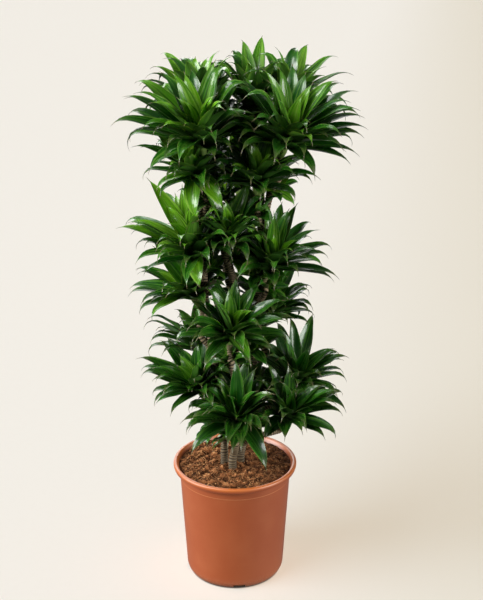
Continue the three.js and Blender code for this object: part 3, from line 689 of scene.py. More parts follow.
LIP_HEIGHT = 0.013
LIP_INNER_INSET = 0.008  # from the rim's outer radius to the mouth
FOOT_RADIUS = 0.094  # of the flat underside
CORNER_HEIGHT = 0.014
POT_FLOOR = 0.0032
STEP_HEIGHT = 0.233  # the moulded step round the wall
STEP_DEPTH = 0.0014
POT_SEGMENTS = 160
DRAIN_COUNT = 4
DRAIN_WIDTH = 0.027
DRAIN_HEIGHT = 0.0115
DRAIN_TURN = math.radians(5.5)  # from the front to the first slot
DRAIN_REACH = 0.040  # radial length of a slot's cutter
DRAIN_INSET = 0.006
POT_SHARP = math.radians(38)  # steeper edges stay sharp


def pot_outline(pot):
    """The pot's section: (radius, height, rounding), from the underside's middle and back."""
    lip_bottom = pot.height - LIP_HEIGHT
    mouth = pot.rim_radius - LIP_INNER_INSET

    def wall(height):
        return pot.base_radius + (pot.wall_top_radius - pot.base_radius) * height / lip_bottom

    return [
        (0, 0, 0), (FOOT_RADIUS - 0.004, 0, 0), (FOOT_RADIUS, 0, 0.003),
        (FOOT_RADIUS + 0.008, 0.004, 0.006), (wall(CORNER_HEIGHT), CORNER_HEIGHT, 0.008),
        (wall(STEP_HEIGHT) - STEP_DEPTH, STEP_HEIGHT - 0.0008, 0.0005),
        (wall(STEP_HEIGHT), STEP_HEIGHT + 0.0006, 0.0006),
        (pot.wall_top_radius, lip_bottom, 0.0015), (pot.rim_radius - 0.002, lip_bottom + 0.001, 0.0012),
        (pot.rim_radius, pot.height - 0.006, 0.003), (pot.rim_radius - 0.0012, pot.height, 0.0032),
        (mouth, pot.height, 0.0018), (pot.wall_top_radius - pot.wall, lip_bottom, 0.004),
        (wall(CORNER_HEIGHT) - pot.wall, CORNER_HEIGHT, 0.004),
        (FOOT_RADIUS + 0.003, POT_FLOOR, 0.002), (0, POT_FLOOR, 0),
    ]


class CORNPLANT_OT_make_pot(Operator):
    """Make the moulded grow pot with its rolled lip, wall step and drain slots"""

    bl_idname = "cornplant.make_pot"
    bl_label = "Make pot"

    def execute(self, context):
        """Turns the pot's section and cuts the drain slots."""
        pot = context.scene.cornplant_pot
        points, faces = lathe(rounded(pot_outline(pot)), POT_SEGMENTS)
        piece = mesh_piece("grow_pot", points, faces, pot_finish(pot))
        half = np.array([DRAIN_WIDTH / 2, DRAIN_REACH / 2, DRAIN_HEIGHT])
        cutters = []
        for i in range(DRAIN_COUNT):
            turn = DRAIN_TURN + 2 * math.pi * i / DRAIN_COUNT
            corners = []
            for signs in np.ndindex(2, 2, 2):
                x, y, z = (2 * np.array(signs) - 1) * half
                y -= FOOT_RADIUS + DRAIN_REACH / 2 - DRAIN_INSET
                corners.append((x * math.cos(turn) - y * math.sin(turn),
                                x * math.sin(turn) + y * math.cos(turn), z))
            sides = [(0, 1, 3, 2), (4, 6, 7, 5), (0, 4, 5, 1), (2, 3, 7, 6), (0, 2, 6, 4), (1, 5, 7, 3)]
            cutter = mesh_piece(f"drain_cutter_{i}", corners, sides, piece.data.materials[0],
                                smooth=False)
            cut = piece.modifiers.new(f"drain_{i}", "BOOLEAN")
            cut.operation = "DIFFERENCE"
            cut.solver = "EXACT"
            cut.object = cutter
            cutters.append(cutter)
        apply_modifiers(piece)
        for cutter in cutters:
            bpy.data.objects.remove(cutter)
        piece.data.set_sharp_from_angle(angle=POT_SHARP)
        settle(piece, "pot", "pot")
        return {"FINISHED"}


# ---- the soil ---------------------------------------------------------------------------------

SOIL_TOP = 0.258
SOIL_EDGE = 0.2565
SOIL_EDGE_RADIUS = 0.1220
SOIL_SIDE = [(0.1195, 0.2500), (0.0960, 0.0036)]  # radius and height, down the pot's inner wall
SOIL_MOUND = 0.007
SOIL_MOUND_SPREAD = 0.055
SOIL_RINGS = 84
SOIL_SEGMENTS = 300
SOIL_LEVEL_FROM = 0.098  # from here outwards the top runs down to the wall
LUMP_HEIGHTS = (0.0019, 0.0013)
CLUMP_HEIGHT = 0.0040
CLUMP_SCALE = 75
GRAIN_DEPTH = 0.0016
GRAIN_SCALE = 260
LITTER_SEED = 4211
CRUMB_LARGEST = 0.0046
FIBRE_SEGMENTS = 7
FIBRE_SIDES = 4


def clump_share(x, y):
    """How far a clump stands up at a place, about -1 to 1."""
    return noise.fractal(Vector((x, y, 0.0)) * CLUMP_SCALE, 0.9, 2.1, 4)


def soil_height(x, y):
    """Height of the soil at a place: a low mound, lumps, clumps and grains."""
    radius = math.hypot(x, y)
    broad, fine = LUMP_HEIGHTS
    lumps = broad * math.sin(93 * x + 0.8) * math.cos(81 * y) + fine * math.sin(170 * x - 140 * y + 2.1)
    mound = SOIL_MOUND * math.exp(-(radius / SOIL_MOUND_SPREAD) ** 2)
    clumps = CLUMP_HEIGHT * clump_share(x, y)
    grains = GRAIN_DEPTH * (0.5 - noise.voronoi(Vector((x, y, 0.0)) * GRAIN_SCALE)[0][0])
    edge = smooth_step((radius - SOIL_LEVEL_FROM) / (SOIL_EDGE_RADIUS - SOIL_LEVEL_FROM))
    level = SOIL_TOP + lumps + mound + clumps + grains
    return level * (1 - edge) + (SOIL_EDGE + 0.5 * clumps + grains) * edge


def crumb_shape():
    """An icosahedron's points and faces, the plain start of a crumb."""
    golden = (1 + math.sqrt(5)) / 2
    points = []
    for a in (-1, 1):
        for b in (-golden, golden):
            points += [(a, b, 0), (0, a, b), (b, 0, a)]
    points = np.array([unit(np.array(point, float)) for point in points])
    faces = []
    count = len(points)
    closest = 1.06
    for i in range(count):
        for j in range(i + 1, count):
            for k in range(j + 1, count):
                a, b, c = points[[i, j, k]]
                spans = [np.linalg.norm(a - b), np.linalg.norm(b - c), np.linalg.norm(c - a)]
                if max(spans) < closest:
                    outward = np.dot(np.cross(b - a, c - a), a + b + c) > 0
                    faces.append((i, j, k) if outward else (i, k, j))
    return points, faces


class CORNPLANT_OT_make_soil(Operator):
    """Make the coir soil with its crumbs and loose fibres"""

    bl_idname = "cornplant.make_soil"
    bl_label = "Make soil"

    def execute(self, context):
        """Makes the soil's body, then the crumbs and the fibres that lie on it."""
        soil = context.scene.cornplant_soil
        self.make_body(soil)
        self.make_litter(soil)
        return {"FINISHED"}

    @staticmethod
    def make_body(soil):
        """A closed body with a clumpy top."""
        turns = 2 * math.pi * np.arange(SOIL_SEGMENTS) / SOIL_SEGMENTS
        points = [(0.0, 0.0, soil_height(0, 0))]
        heights = [0.0]
        for radius in np.linspace(0, SOIL_EDGE_RADIUS, SOIL_RINGS + 1)[1:]:
            for turn in turns:
                x, y = radius * math.cos(turn), radius * math.sin(turn)
                points.append((x, y, soil_height(x, y)))
        heights += [clump_share(x, y) for x, y, _ in points[1:]]
        for radius, height in SOIL_SIDE:
            points += [(radius * math.cos(t), radius * math.sin(t), height) for t in turns]
            heights += [0.0] * SOIL_SEGMENTS
        rows = SOIL_RINGS + len(SOIL_SIDE)
        faces = []
        for i in range(SOIL_SEGMENTS):
            j = (i + 1) % SOIL_SEGMENTS
            faces.append((0, 1 + i, 1 + j))
            for ring in range(rows - 1):
                low = 1 + ring * SOIL_SEGMENTS
                high = low + SOIL_SEGMENTS
                faces.append((low + i, high + i, high + j, low + j))
        faces.append(tuple(range(high, high + SOIL_SEGMENTS))[::-1])
        piece = mesh_piece("coir_soil", points, faces, soil_finish("coir", soil),
                           {"soil_height": heights})
        settle(piece, "soil", "soil")

    @staticmethod
    def make_litter(soil):
        """Crumbs of pith and thin bent fibres, fused into one piece."""
        share = share_draws(LITTER_SEED)
        shape, sides = crumb_shape()
        points, faces, tones = [], [], []
        reach = SOIL_EDGE_RADIUS - 0.003

        def add(new_points, new_faces, tone):
            start = sum(len(block) for block in points)
            points.append(new_points)
            faces.extend(tuple(start + i for i in face) for face in new_faces)
            tones.append(np.full(len(new_points), tone))

        for _ in range(soil.crumbs):
            radius = reach * math.sqrt(share())
            turn = 2 * math.pi * share()
            x, y = radius * math.cos(turn), radius * math.sin(turn)
            size = CRUMB_LARGEST * (0.22 + 0.78 * share() ** 3)
            scale = size * np.array([0.55 + 0.45 * share(), 0.40 + 0.35 * share(),
                                     0.22 + 0.30 * share()])
            jitter = 1 + 0.35 * (np.array([share() for _ in shape]) - 0.5)
            spin = 2 * math.pi * share()
            tip = 0.9 * (share() - 0.5)
            crumb = shape * jitter[:, None] * scale
            crumb = crumb @ np.array([[math.cos(tip), 0, math.sin(tip)], [0, 1, 0],
                                      [-math.sin(tip), 0, math.cos(tip)]])
            crumb = crumb @ np.array([[math.cos(spin), math.sin(spin), 0],
                                      [-math.sin(spin), math.cos(spin), 0], [0, 0, 1]])
            lift = 0.35 * scale[2]
            add(crumb + np.array([x, y, soil_height(x, y) + lift]), sides, 0.10 + 0.75 * share())

        for _ in range(soil.fibres):
            radius = (reach - 0.004) * math.sqrt(share())
            turn = 2 * math.pi * share()
            place = np.array([radius * math.cos(turn), radius * math.sin(turn)])
            heading = 2 * math.pi * share()
            bend = 3.2 * (share() - 0.5)
            length = 0.008 + 0.022 * share() ** 2
            rise = 0.0006 + 0.0040 * share() ** 3
            thick = 0.00016 + 0.00018 * share()
            tone = 0.55 + 0.45 * share()
            path = []
            for step in np.linspace(0, 1, FIBRE_SEGMENTS + 1):
                if np.linalg.norm(place) > reach:
                    break
                lift = rise * math.sin(math.pi * step) + 0.0002
                path.append([*place, soil_height(*place) + lift])
                angle = heading + bend * step
                stride = length / FIBRE_SEGMENTS
                place = place + stride * np.array([math.cos(angle), math.sin(angle)])
            if len(path) < 4:  # it would run off the soil
                continue
            places, directions, _ = even_points(np.array(path), length / 9)
            taper = 0.35 + 0.65 * np.sin(np.pi * np.linspace(0.12, 0.88, len(places)))
            radii = np.repeat((thick * taper)[:, None], FIBRE_SIDES, axis=1)
            add(*tube(places, directions, radii), tone)

        piece = mesh_piece("coir_crumbs", np.concatenate(points), faces,
                           soil_finish("coir_litter", soil, "tone"), {"tone": np.concatenate(tones)},
                           smooth=False)
        settle(piece, "soil")


# ---- the canes --------------------------------------------------------------------------------

CANE_BURIED = 0.240  # the fine cane starts just inside the soil
CANE_PLAIN_TOP = 0.268
CANE_STEP = 0.012
TRUNK_TIP_RADIUS = 0.0068
SHOOT_RADIUS = 0.0066
SHOOT_TIP_RADIUS = 0.0058
SHOOT_COLLAR = 0.0020  # how much a shoot swells where it leaves the trunk
SHOOT_COLLAR_REACH = 0.014
RING_ROWS = 6  # rows of points from one leaf scar to the next
RING_TILT = 0.24  # how far a ring slants, in rings
RING_WANDER = 0.30  # how uneven the rings' pitch is, in rings
GROOVE_POWER = 0.7
BARK_SWELL = 0.00035
BARK_WANDER = 0.0003
YOUNG_REACH = 0.035  # length of the young wood under a head
CANE_SHARP = math.radians(60)
TRUNK_SIDES = 20
SHOOT_SIDES = 16
HEAD_GAP = 0.0003
HEAD_APPROACH = 0.022
GOLDEN_TURN = math.radians(137.508)


def head_axis(head):
    """The direction in which a head grows."""
    return unit(np.array([*head.lean, 1.0]))


def head_foot(head):
    """Where the head's leafy stem stands on its cane."""
    return np.array(head.crown) - head_axis(head) * head.stem * head.size


def approach(head):
    """The last points of a cane that ends square under its head."""
    foot = head_foot(head)
    axis = head_axis(head)
    return [foot - axis * HEAD_APPROACH, foot - axis * HEAD_GAP]


def trunk_path(cane):
    """The line of a cane's trunk, from the soil to its own head."""
    start = [(*cane.foot, CANE_PLAIN_TOP), (*cane.foot, CANE_PLAIN_TOP + CANE_STEP)]
    return catmull_rom([*start, *cane.trunk, cane.via, *approach(HEAD_NAMED[cane.top])])


def shoot_path(cane, shoot):
    """The line of a shoot, from inside the trunk to its head."""
    start = point_at_height(trunk_path(cane), shoot.start)
    return catmull_rom([start, shoot.via, *approach(HEAD_NAMED[shoot.head])])


def ringed_tube(path, radius, tip_radius, sides, canes, seed, collar=0.0):
    """A closed tube with a leaf scar at every ring, and its values for the bark."""
    places, directions, travel = even_points(path, canes.ring_pitch / RING_ROWS)
    share = travel / travel[-1]
    angles = 2 * math.pi * np.arange(sides) / sides
    count = travel[:, None] / canes.ring_pitch
    tilt = RING_TILT * np.sin(angles[None, :] + GOLDEN_TURN * count * 0.21 + seed)
    wander = RING_WANDER * np.sin(0.9 * count + 1.7 * seed)
    phase = (count + tilt + wander) % 1.0
    ring = np.abs(np.sin(math.pi * phase))
    swell = (BARK_SWELL * np.sin(2 * angles[None, :] + 0.31 * count + seed)
             + BARK_WANDER * np.sin(0.77 * count + seed))
    base = (radius + (tip_radius - radius) * share)[:, None]
    base = base + collar * np.exp(-(travel / SHOOT_COLLAR_REACH) ** 2)[:, None]
    radii = base + swell + canes.ring_relief * (ring ** GROOVE_POWER - 0.7)
    young = smooth_step((share - 1 + YOUNG_REACH / travel[-1]) * travel[-1] / YOUNG_REACH)
    young = np.repeat(young[:, None], sides, axis=1)
    points, faces = tube(places, directions, radii)
    return points, faces, ring.ravel(), young.ravel()


class CORNPLANT_OT_make_canes(Operator):
    """Make the three ringed canes with their shoots"""

    bl_idname = "cornplant.make_canes"
    bl_label = "Make canes"

    def execute(self, context):
        """Makes each cane from its trunk and shoots, as one mesh."""
        canes = context.scene.cornplant_canes
        bark = cane_finish(canes)
        for number, cane in enumerate(CANES):
            path = np.concatenate([[(*cane.foot, CANE_BURIED)], trunk_path(cane)])
            parts = [ringed_tube(path, cane.radius, TRUNK_TIP_RADIUS, TRUNK_SIDES, canes, number)]
            for i, shoot in enumerate(cane.shoots):
                parts.append(ringed_tube(shoot_path(cane, shoot), SHOOT_RADIUS, SHOOT_TIP_RADIUS,
                                         SHOOT_SIDES, canes, number + 2.3 * (i + 1), SHOOT_COLLAR))
            points, faces, rings, youngs = [], [], [], []
            start = 0
            for part_points, part_faces, ring, young in parts:
                points.append(part_points)
                faces.extend(tuple(start + i for i in face) for face in part_faces)
                rings.append(ring)
                youngs.append(young)
                start += len(part_points)
            piece = mesh_piece(f"ringed_{cane.name}", np.concatenate(points), faces, bark,
                               {"ring": np.concatenate(rings), "young_wood": np.concatenate(youngs)})
            piece.data.set_sharp_from_angle(angle=CANE_SHARP)
            settle(piece, "bark", cane.name)
        return {"FINISHED"}


# ---- the leaves -------------------------------------------------------------------------------

LEAF_ROWS = np.concatenate([np.linspace(0.0, 0.86, 14), [0.905, 0.94, 0.965, 0.985]])
LEAF_COLUMNS = np.linspace(-1.0, 1.0, 7)
LEAF_STEPS = 40  # steps of the midrib's curve
LEAF_BLADE_END = 0.92  # share of the length where the blade runs out into the tip's thread
LEAF_ROOT_WIDTH = 0.42  # share of the full width where a blade leaves the stem
WIDEST = 0.42  # share of the length where a blade is widest
TAPER_START = 0.40
TAPER_POWER = 2.1
LEAF_THREAD = 0.0007  # half the width of the tip's thread
THREAD_END = 0.06  # share of the length over which the thread runs out
THREAD_POINT = 0.15  # share of its width that is left at the very end
YOUNGEST_LENGTH = 0.54  # share of the full length
GROWN_GAIN = 0.50
GROWN_AGE = 0.3  # older leaves have their full length and width
AGED = 0.6  # older leaves are shorter again
AGED_LOSS = 0.14
SMALL_HEAD_WIDTH = 0.45  # share of the width that does not shrink with a head's size
YOUNG_WIDTH = 0.86  # share of the full width that the youngest leaf has
TURN_SPREAD = 9  # degrees at random off the golden angle
SLOPE_YOUNG = 12  # degrees between the stem and a young leaf at its root
SLOPE_GAIN = 56  # degrees that the oldest leaf lies further out
SLOPE_POWER = 2.2
SLOPE_SPREAD = 7  # at random, as the next spreads are
LEAST_SLOPE = 3
FURTHEST_SLOPE = 158  # before the tip curls
DROOP_YOUNG = 8  # degrees that a young leaf bends down between root and tip
DROOP_GAIN = 15
DROOP_AGE = 0.4  # older leaves droop alike
DROOP_SPREAD = 7
DROOP_POWER = 1.8
LENGTH_EVEN = 0.97  # share of the length that leaves of one age have alike
LENGTH_SPREAD = 0.09
ROLL_SPREAD = 12  # degrees that a blade turns round its rib
OLD_ROLL_SPREAD = 14  # added for the oldest leaf
SWAY_SPREAD = 0.09  # share of the length that a tip lies to one side
FOLD_AGE = 0.3  # only older leaves fold over near their end
FOLD_MIDDLE = 36  # degrees
FOLD_SPREAD = 18
FOLD_CHANCE = 0.3  # draws above this fold a leaf
FOLD_START = 0.62  # where along a blade a fold starts
FOLD_REACH = 0.22
CURL_YOUNG = 56  # degrees that a tip curls over
CURL_GAIN = 44  # added for the oldest leaf
CURL_SPREAD = 0.4  # share of the curl
CURL_START = 0.70
CURL_REACH = 0.30
CURL_POWER = 1.4
LEAN_OPENING = 62  # degrees that a leaning head's youngest leaves open on its lower side
LEAN_OPEN_AGE = 0.45  # older leaves do not
LEAN_CURL = 50  # degrees that the young leaves' ends curl over there
LEAN_SHORTENING = 0.35  # share of the length that leaves lose there
LEAN_UNFOLDING = 1.6  # share of the fold that leaves lose there, at most all of it
LEAN_LENGTHENING = 0.20  # share of the length that leaves gain on the upper side
LEAN_RAISING = 24  # degrees that the oldest leaves are raised on the lower side
UPRIGHT_PULL = 0.8  # how far the oldest leaves spread round the upright and not round the stem
LEAFY_SHARE = 0.60  # share of the stem that bears leaves, from the crown down
ROOT_DEPTH = 0.003  # below the crown, where the youngest leaf starts
ROOT_OUT = 0.002  # from the stem's axis to a blade's start
ROOT_OUT_YOUNG = 0.0015  # added for the youngest leaf
HEAD_TURN = math.radians(47)  # each head is turned against the one before it
CROWD_REACH = 0.178 * 1.5  # heads within one and a half leaf lengths crowd each other
CROWD_LIMIT = 1.25
CROWD_EFFECT = 0.3  # share that crowding takes off a leaf's length and slope

# The blade's section: the edges stand above the rib, the upper side has a groove over the rib.
CUP_ROOT = 0.62  # how high the edges stand, in half widths
CUP_LOSS = 0.40  # what of that is lost towards the tip
CUP_POWER = 1.5
EDGE_THICKNESS = 0.25  # share of the thickness
GROOVE_WIDTH = 0.22  # share of the half width
GROOVE_DEPTH = 0.0005
BROAD_HALF = 0.018  # half the width of a blade with the full groove
RIB_DEPTH = 0.0009
RIB_HALF = 0.006  # narrower stretches have a finer rib
WAVE_HEIGHT = 0.0010  # of the waves along a blade's edges
WAVE_SPREAD = 0.0008
WAVES_ALONG = 2.6
WAVE_END = 0.9
WAVE_SHIFT = 0.31  # between the two edges' waves

# The leafy stem of a head.
STEM_ROWS = 14
STEM_SIDES = 14
STEM_RISE = 0.004  # above the crown
STEM_RADIUS = 0.0058
STEM_SWELL = 0.0032
STEM_TAPER = 0.0045
STEM_RINGS = 40
STEM_RING_RELIEF = 0.05
STEM_SMALL_SHARE = 0.4  # share of the radius that does not shrink with a head's size

# Coarse canes and stems that the blades keep clear of.
COARSE_STEP = 0.02
COARSE_SIDES = 6
COARSE_STEM_RADIUS = 0.006

# The draws' first seed and its step from one head or sprout to the next.
LEAF_SEED = (101, 17)
BETWEEN_SEED = (5003, 29)
BEND_SEED = (9001, 41)
LOOK_SEED = (7001, 31)
SPROUT_SEED = (331, 13)

# Ways a blade is bent clear of what it would cross: turn round the stem, change of slope (both
# in degrees) and share of its length.
BENDS = [
    (0, 0, 1.0), (4, 0, 1.0), (-4, 0, 1.0), (0, -6, 1.0), (0, 6, 1.0), (9, -4, 1.0), (-9, -4, 1.0),
    (8, 9, 0.97), (-8, 9, 0.97), (0, -14, 0.96), (0, 14, 0.96), (16, -8, 0.94), (-16, -8, 0.94),
    (14, 10, 0.92), (-14, 10, 0.92), (0, -6, 0.80), (22, 0, 0.84), (-22, 0, 0.84),
]

# Small sprouts on the trunks: the cane, the height, the angle from +X round the cane and the size.
SPROUTS = [
    ("cane_front", 0.955, -90, 0.50), ("cane_front", 0.890, -60, 0.52),
    ("cane_front", 0.845, -130, 0.50), ("cane_left", 0.900, -20, 0.50),
    ("cane_left", 0.850, -60, 0.42), ("cane_right", 0.872, -70, 0.40),
    ("cane_right", 0.820, -160, 0.46), ("cane_front", 0.730, -30, 0.42),
    ("cane_left", 0.705, -20, 0.38), ("cane_right", 0.690, -110, 0.52),
    ("cane_right", 0.655, -30, 0.48), ("cane_front", 0.560, -20, 0.40),
    ("cane_left", 0.560, -40, 0.42), ("cane_right", 0.520, -110, 0.48),
    ("cane_right", 0.560, -150, 0.42), ("cane_front", 0.505, -150, 0.42),
    ("cane_left", 0.460, -50, 0.44), ("cane_right", 0.440, -100, 0.44),
    ("cane_right", 0.345, -50, 0.52), ("cane_left", 0.345, -160, 0.46),
    ("cane_front", 0.330, 150, 0.42),
]
SPROUT_LEAVES = 12
SPROUT_OUT = 0.014
SPROUT_UP = 0.012
SPROUT_STEM = 0.014
SPROUT_LEAN = 0.9
SPROUT_AGE = 0.5  # its leaves look this share of their age

# Painted shade: low heads' leaves are painted older and darker, by up to LOW_HEAD_SHADE, from full at
# SHADE_LOW to nothing SHADE_REACH above it.
LOW_HEAD_SHADE = 0.26
SHADE_LOW = 0.40
SHADE_REACH = 0.60
# Painted light and shade that some heads' leaves add to that: the shaded ones are painted older and
# darker, the ones in the light younger and brighter.
HEAD_LIGHT_AND_SHADE = {
    "top_front_left": 0.02, "top_front_right": 0.15, "upper_right": 0.08, "middle_left": -0.20,
    "middle_front": 0.08, "middle_right": 0.02, "lower_right": 0.22, "lower_front": 0.05,
    "bottom_left": 0.05, "bottom_right": 0.26, "bottom_front_right": 0.24, "bottom_front": 0.14,
}

# Single leaves that stand out, for each head: the way they head (degrees from +X seen from above),
# their age, slope, droop, length against the longest, fold and curl.
LONE_LEAVES = {
    "top_front_right": [
        (-8, 0.90, 76, 24, 0.98, 0, 40), (-26, 0.85, 78, 26, 0.98, 0, 40),
        (10, 0.95, 82, 20, 0.96, 0, 40),
        (26, 0.50, 44, 18, 1.06, 0, 60), (6, 0.55, 52, 18, 1.08, 0, 50),
    ],
    "top_front_left": [
        (160, 0.50, 38, 20, 1.10, 0, 50), (178, 0.55, 48, 18, 1.08, 0, 60),
        (136, 0.45, 36, 22, 1.00, 0, 50),
    ],
    "top_back_left": [
        (100, 0.60, 10, 30, 0.92, 30, 50), (40, 0.65, 16, 30, 0.92, 40, 50),
        (155, 0.60, 16, 28, 0.90, 30, 50),
    ],
    "top_back_right": [(160, 0.60, 10, 28, 0.92, 30, 50), (70, 0.65, 12, 30, 0.94, 40, 50)],
    "top_back_middle": [
        (120, 0.60, 14, 30, 0.90, 40, 50), (-78, 0.55, 74, 34, 0.84, 0, 30),
        (-108, 0.70, 84, 30, 0.80, 20, 30),
        (-50, 0.75, 84, 26, 0.86, 0, 40), (-138, 0.60, 70, 30, 0.86, 0, 30),
        (-120, 0.90, 92, 20, 0.95, 0, 30),
        (-64, 0.90, 90, 20, 0.95, 0, 30), (-94, 0.80, 82, 24, 0.95, 0, 30),
        (-152, 0.85, 86, 20, 0.95, 0, 30),
    ],
    "upper_left": [(-100, 0.10, 72, 50, 0.74, 30, 20), (-62, 0.12, 78, 54, 0.76, 24, 20)],
    "upper_right": [(-20, 0.45, 50, 26, 1.00, 0, 50)],
    "middle_left": [
        (168, 0.30, 46, 14, 1.06, 0, 40), (127, 0.17, 14, 12, 1.08, 0, 30),
        (-80, 0.20, 80, 40, 0.62, 24, 30),
    ],
    "middle_low_left": [(180, 0.60, 64, 22, 1.06, 0, 60)],
    "middle_right": [(-15, 0.85, 78, 24, 1.00, 0, 50), (2, 0.85, 72, 24, 1.00, 0, 50)],
    "bottom_left": [(165, 0.60, 52, 20, 0.98, 0, 60)],
    "bottom_right": [(-10, 0.85, 82, 24, 1.00, 0, 60)],
    "bottom_front": [(-62, 0.50, 82, 60, 0.98, 25, 20), (-140, 0.60, 84, 44, 0.86, 20, 30)],
    "bottom_front_right": [(-130, 0.50, 84, 58, 0.55, 20, 30)],
}
LONE_SWAY = 0.02
LONE_WAVE = 0.001

LeafPlan = namedtuple("LeafPlan", "age azimuth slope droop length width roll sway fold curl "
                                  "wave phase luck")


def width_share(along):
    """Share of the full width along a blade: it swells from the root and runs out to the tip."""
    opened = np.sin(np.minimum(1, along / WIDEST) * math.pi / 2)
    swell = LEAF_ROOT_WIDTH + (1 - LEAF_ROOT_WIDTH) * opened
    taper = 1 - np.clip((along - TAPER_START) / (1 - TAPER_START), 0, 1) ** TAPER_POWER
    return swell * taper


def length_share(age):
    """Share of the full length at an age: young and very old leaves are shorter."""
    grown = math.sin(min(1, age / GROWN_AGE) * math.pi / 2)
    return YOUNGEST_LENGTH + GROWN_GAIN * grown - AGED_LOSS * max(0, age - AGED) / (1 - AGED)


def crowding(head, direction):
    """How much a head's neighbours crowd a leaf that heads that way, 0 to 1."""
    most = 0.0
    for other in HEADS:
        if other is not head:
            towards = np.array(other.crown) - np.array(head.crown)
            distance = np.linalg.norm(towards)
            facing = max(0.0, float(direction @ towards) / distance)
            near = min(1.0, max(0.0, CROWD_LIMIT - distance / CROWD_REACH))
            most = max(most, facing * facing * near)
    return most


def leaf_plan(head, leaves, rank, draw, bend, look):
    """One leaf by its place in the head: the youngest stand up, the oldest lie out sideways."""
    age = max(0.0, 1 - rank / (head.leaves - 1))
    half_turn = 180 * (rank % 1 > 0)
    full_length = leaves.length * head.size * length_share(age)
    full_width = leaves.width * (SMALL_HEAD_WIDTH + (1 - SMALL_HEAD_WIDTH) * head.size)
    return LeafPlan(
        age=age,
        azimuth=math.degrees(GOLDEN_TURN) * rank + half_turn + TURN_SPREAD * draw(),
        slope=SLOPE_YOUNG + SLOPE_GAIN * (1 - (1 - age) ** SLOPE_POWER) + SLOPE_SPREAD * draw(),
        droop=DROOP_YOUNG + DROOP_GAIN * min(1, age / DROOP_AGE) + DROOP_SPREAD * draw(),
        length=full_length * (LENGTH_EVEN + LENGTH_SPREAD * draw()),
        width=full_width * (YOUNG_WIDTH + (1 - YOUNG_WIDTH) * min(1, age / GROWN_AGE)),
        roll=ROLL_SPREAD * draw() + OLD_ROLL_SPREAD * age * bend(),
        sway=SWAY_SPREAD * bend(),
        fold=(FOLD_MIDDLE + FOLD_SPREAD * bend()) * (bend() > FOLD_CHANCE) * (age > FOLD_AGE),
        curl=(CURL_YOUNG + CURL_GAIN * age) * (1 + CURL_SPREAD * bend()),
        wave=WAVE_HEIGHT + WAVE_SPREAD * look(), phase=look(), luck=0.5 + 0.5 * look(),
    )


def lone_leaf(heading, age, slope, droop, length, fold, curl, turn_of_head, leaves):
    """A leaf that is placed by itself."""
    return LeafPlan(age=age, azimuth=heading - math.degrees(turn_of_head), slope=slope, droop=droop,
                    length=leaves.length * length, width=leaves.width, roll=0, sway=LONE_SWAY,
                    fold=fold, curl=curl, wave=LONE_WAVE, phase=0.3, luck=0.5)


def leaf_template():
    """Faces of a blade, and for each point its across, along, side and whether it is on the edge."""
    rows, columns = len(LEAF_ROWS), len(LEAF_COLUMNS)
    inner = columns - 2
    tip = rows * columns + rows * inner
    across = np.concatenate([np.tile(LEAF_COLUMNS, rows), np.tile(LEAF_COLUMNS[1:-1], rows), [0.0]])
    along = np.concatenate([np.repeat(LEAF_ROWS, columns), np.repeat(LEAF_ROWS, inner), [1.0]])
    under = np.concatenate([np.zeros(rows * columns), np.ones(rows * inner), [0.0]])

    def top(i, j):
        return i * columns + j

    def low(i, j):
        return top(i, j) if j in (0, columns - 1) else rows * columns + i * inner + j - 1

    faces = []
    below = []
    for j in range(columns - 1):
        for i in range(rows - 1):
            faces.append((top(i, j), top(i, j + 1), top(i + 1, j + 1), top(i + 1, j)))
            below.append(False)
            faces.append((low(i, j), low(i + 1, j), low(i + 1, j + 1), low(i, j + 1)))
            below.append(True)
        faces.append((top(rows - 1, j), top(rows - 1, j + 1), tip))
        below.append(False)
        faces.append((low(rows - 1, j), tip, low(rows - 1, j + 1)))
        below.append(True)
        root = dict.fromkeys((top(0, j), low(0, j), low(0, j + 1), top(0, j + 1)))
        faces.append(tuple(root))
        below.append(True)
    edge = np.abs(across) == 1.0
    edge[tip] = True
    return faces, np.array(below), across, along, under, edge


LEAF_FACES, LEAF_BELOW, LEAF_ACROSS, LEAF_ALONG, LEAF_UNDER, LEAF_EDGE = leaf_template()


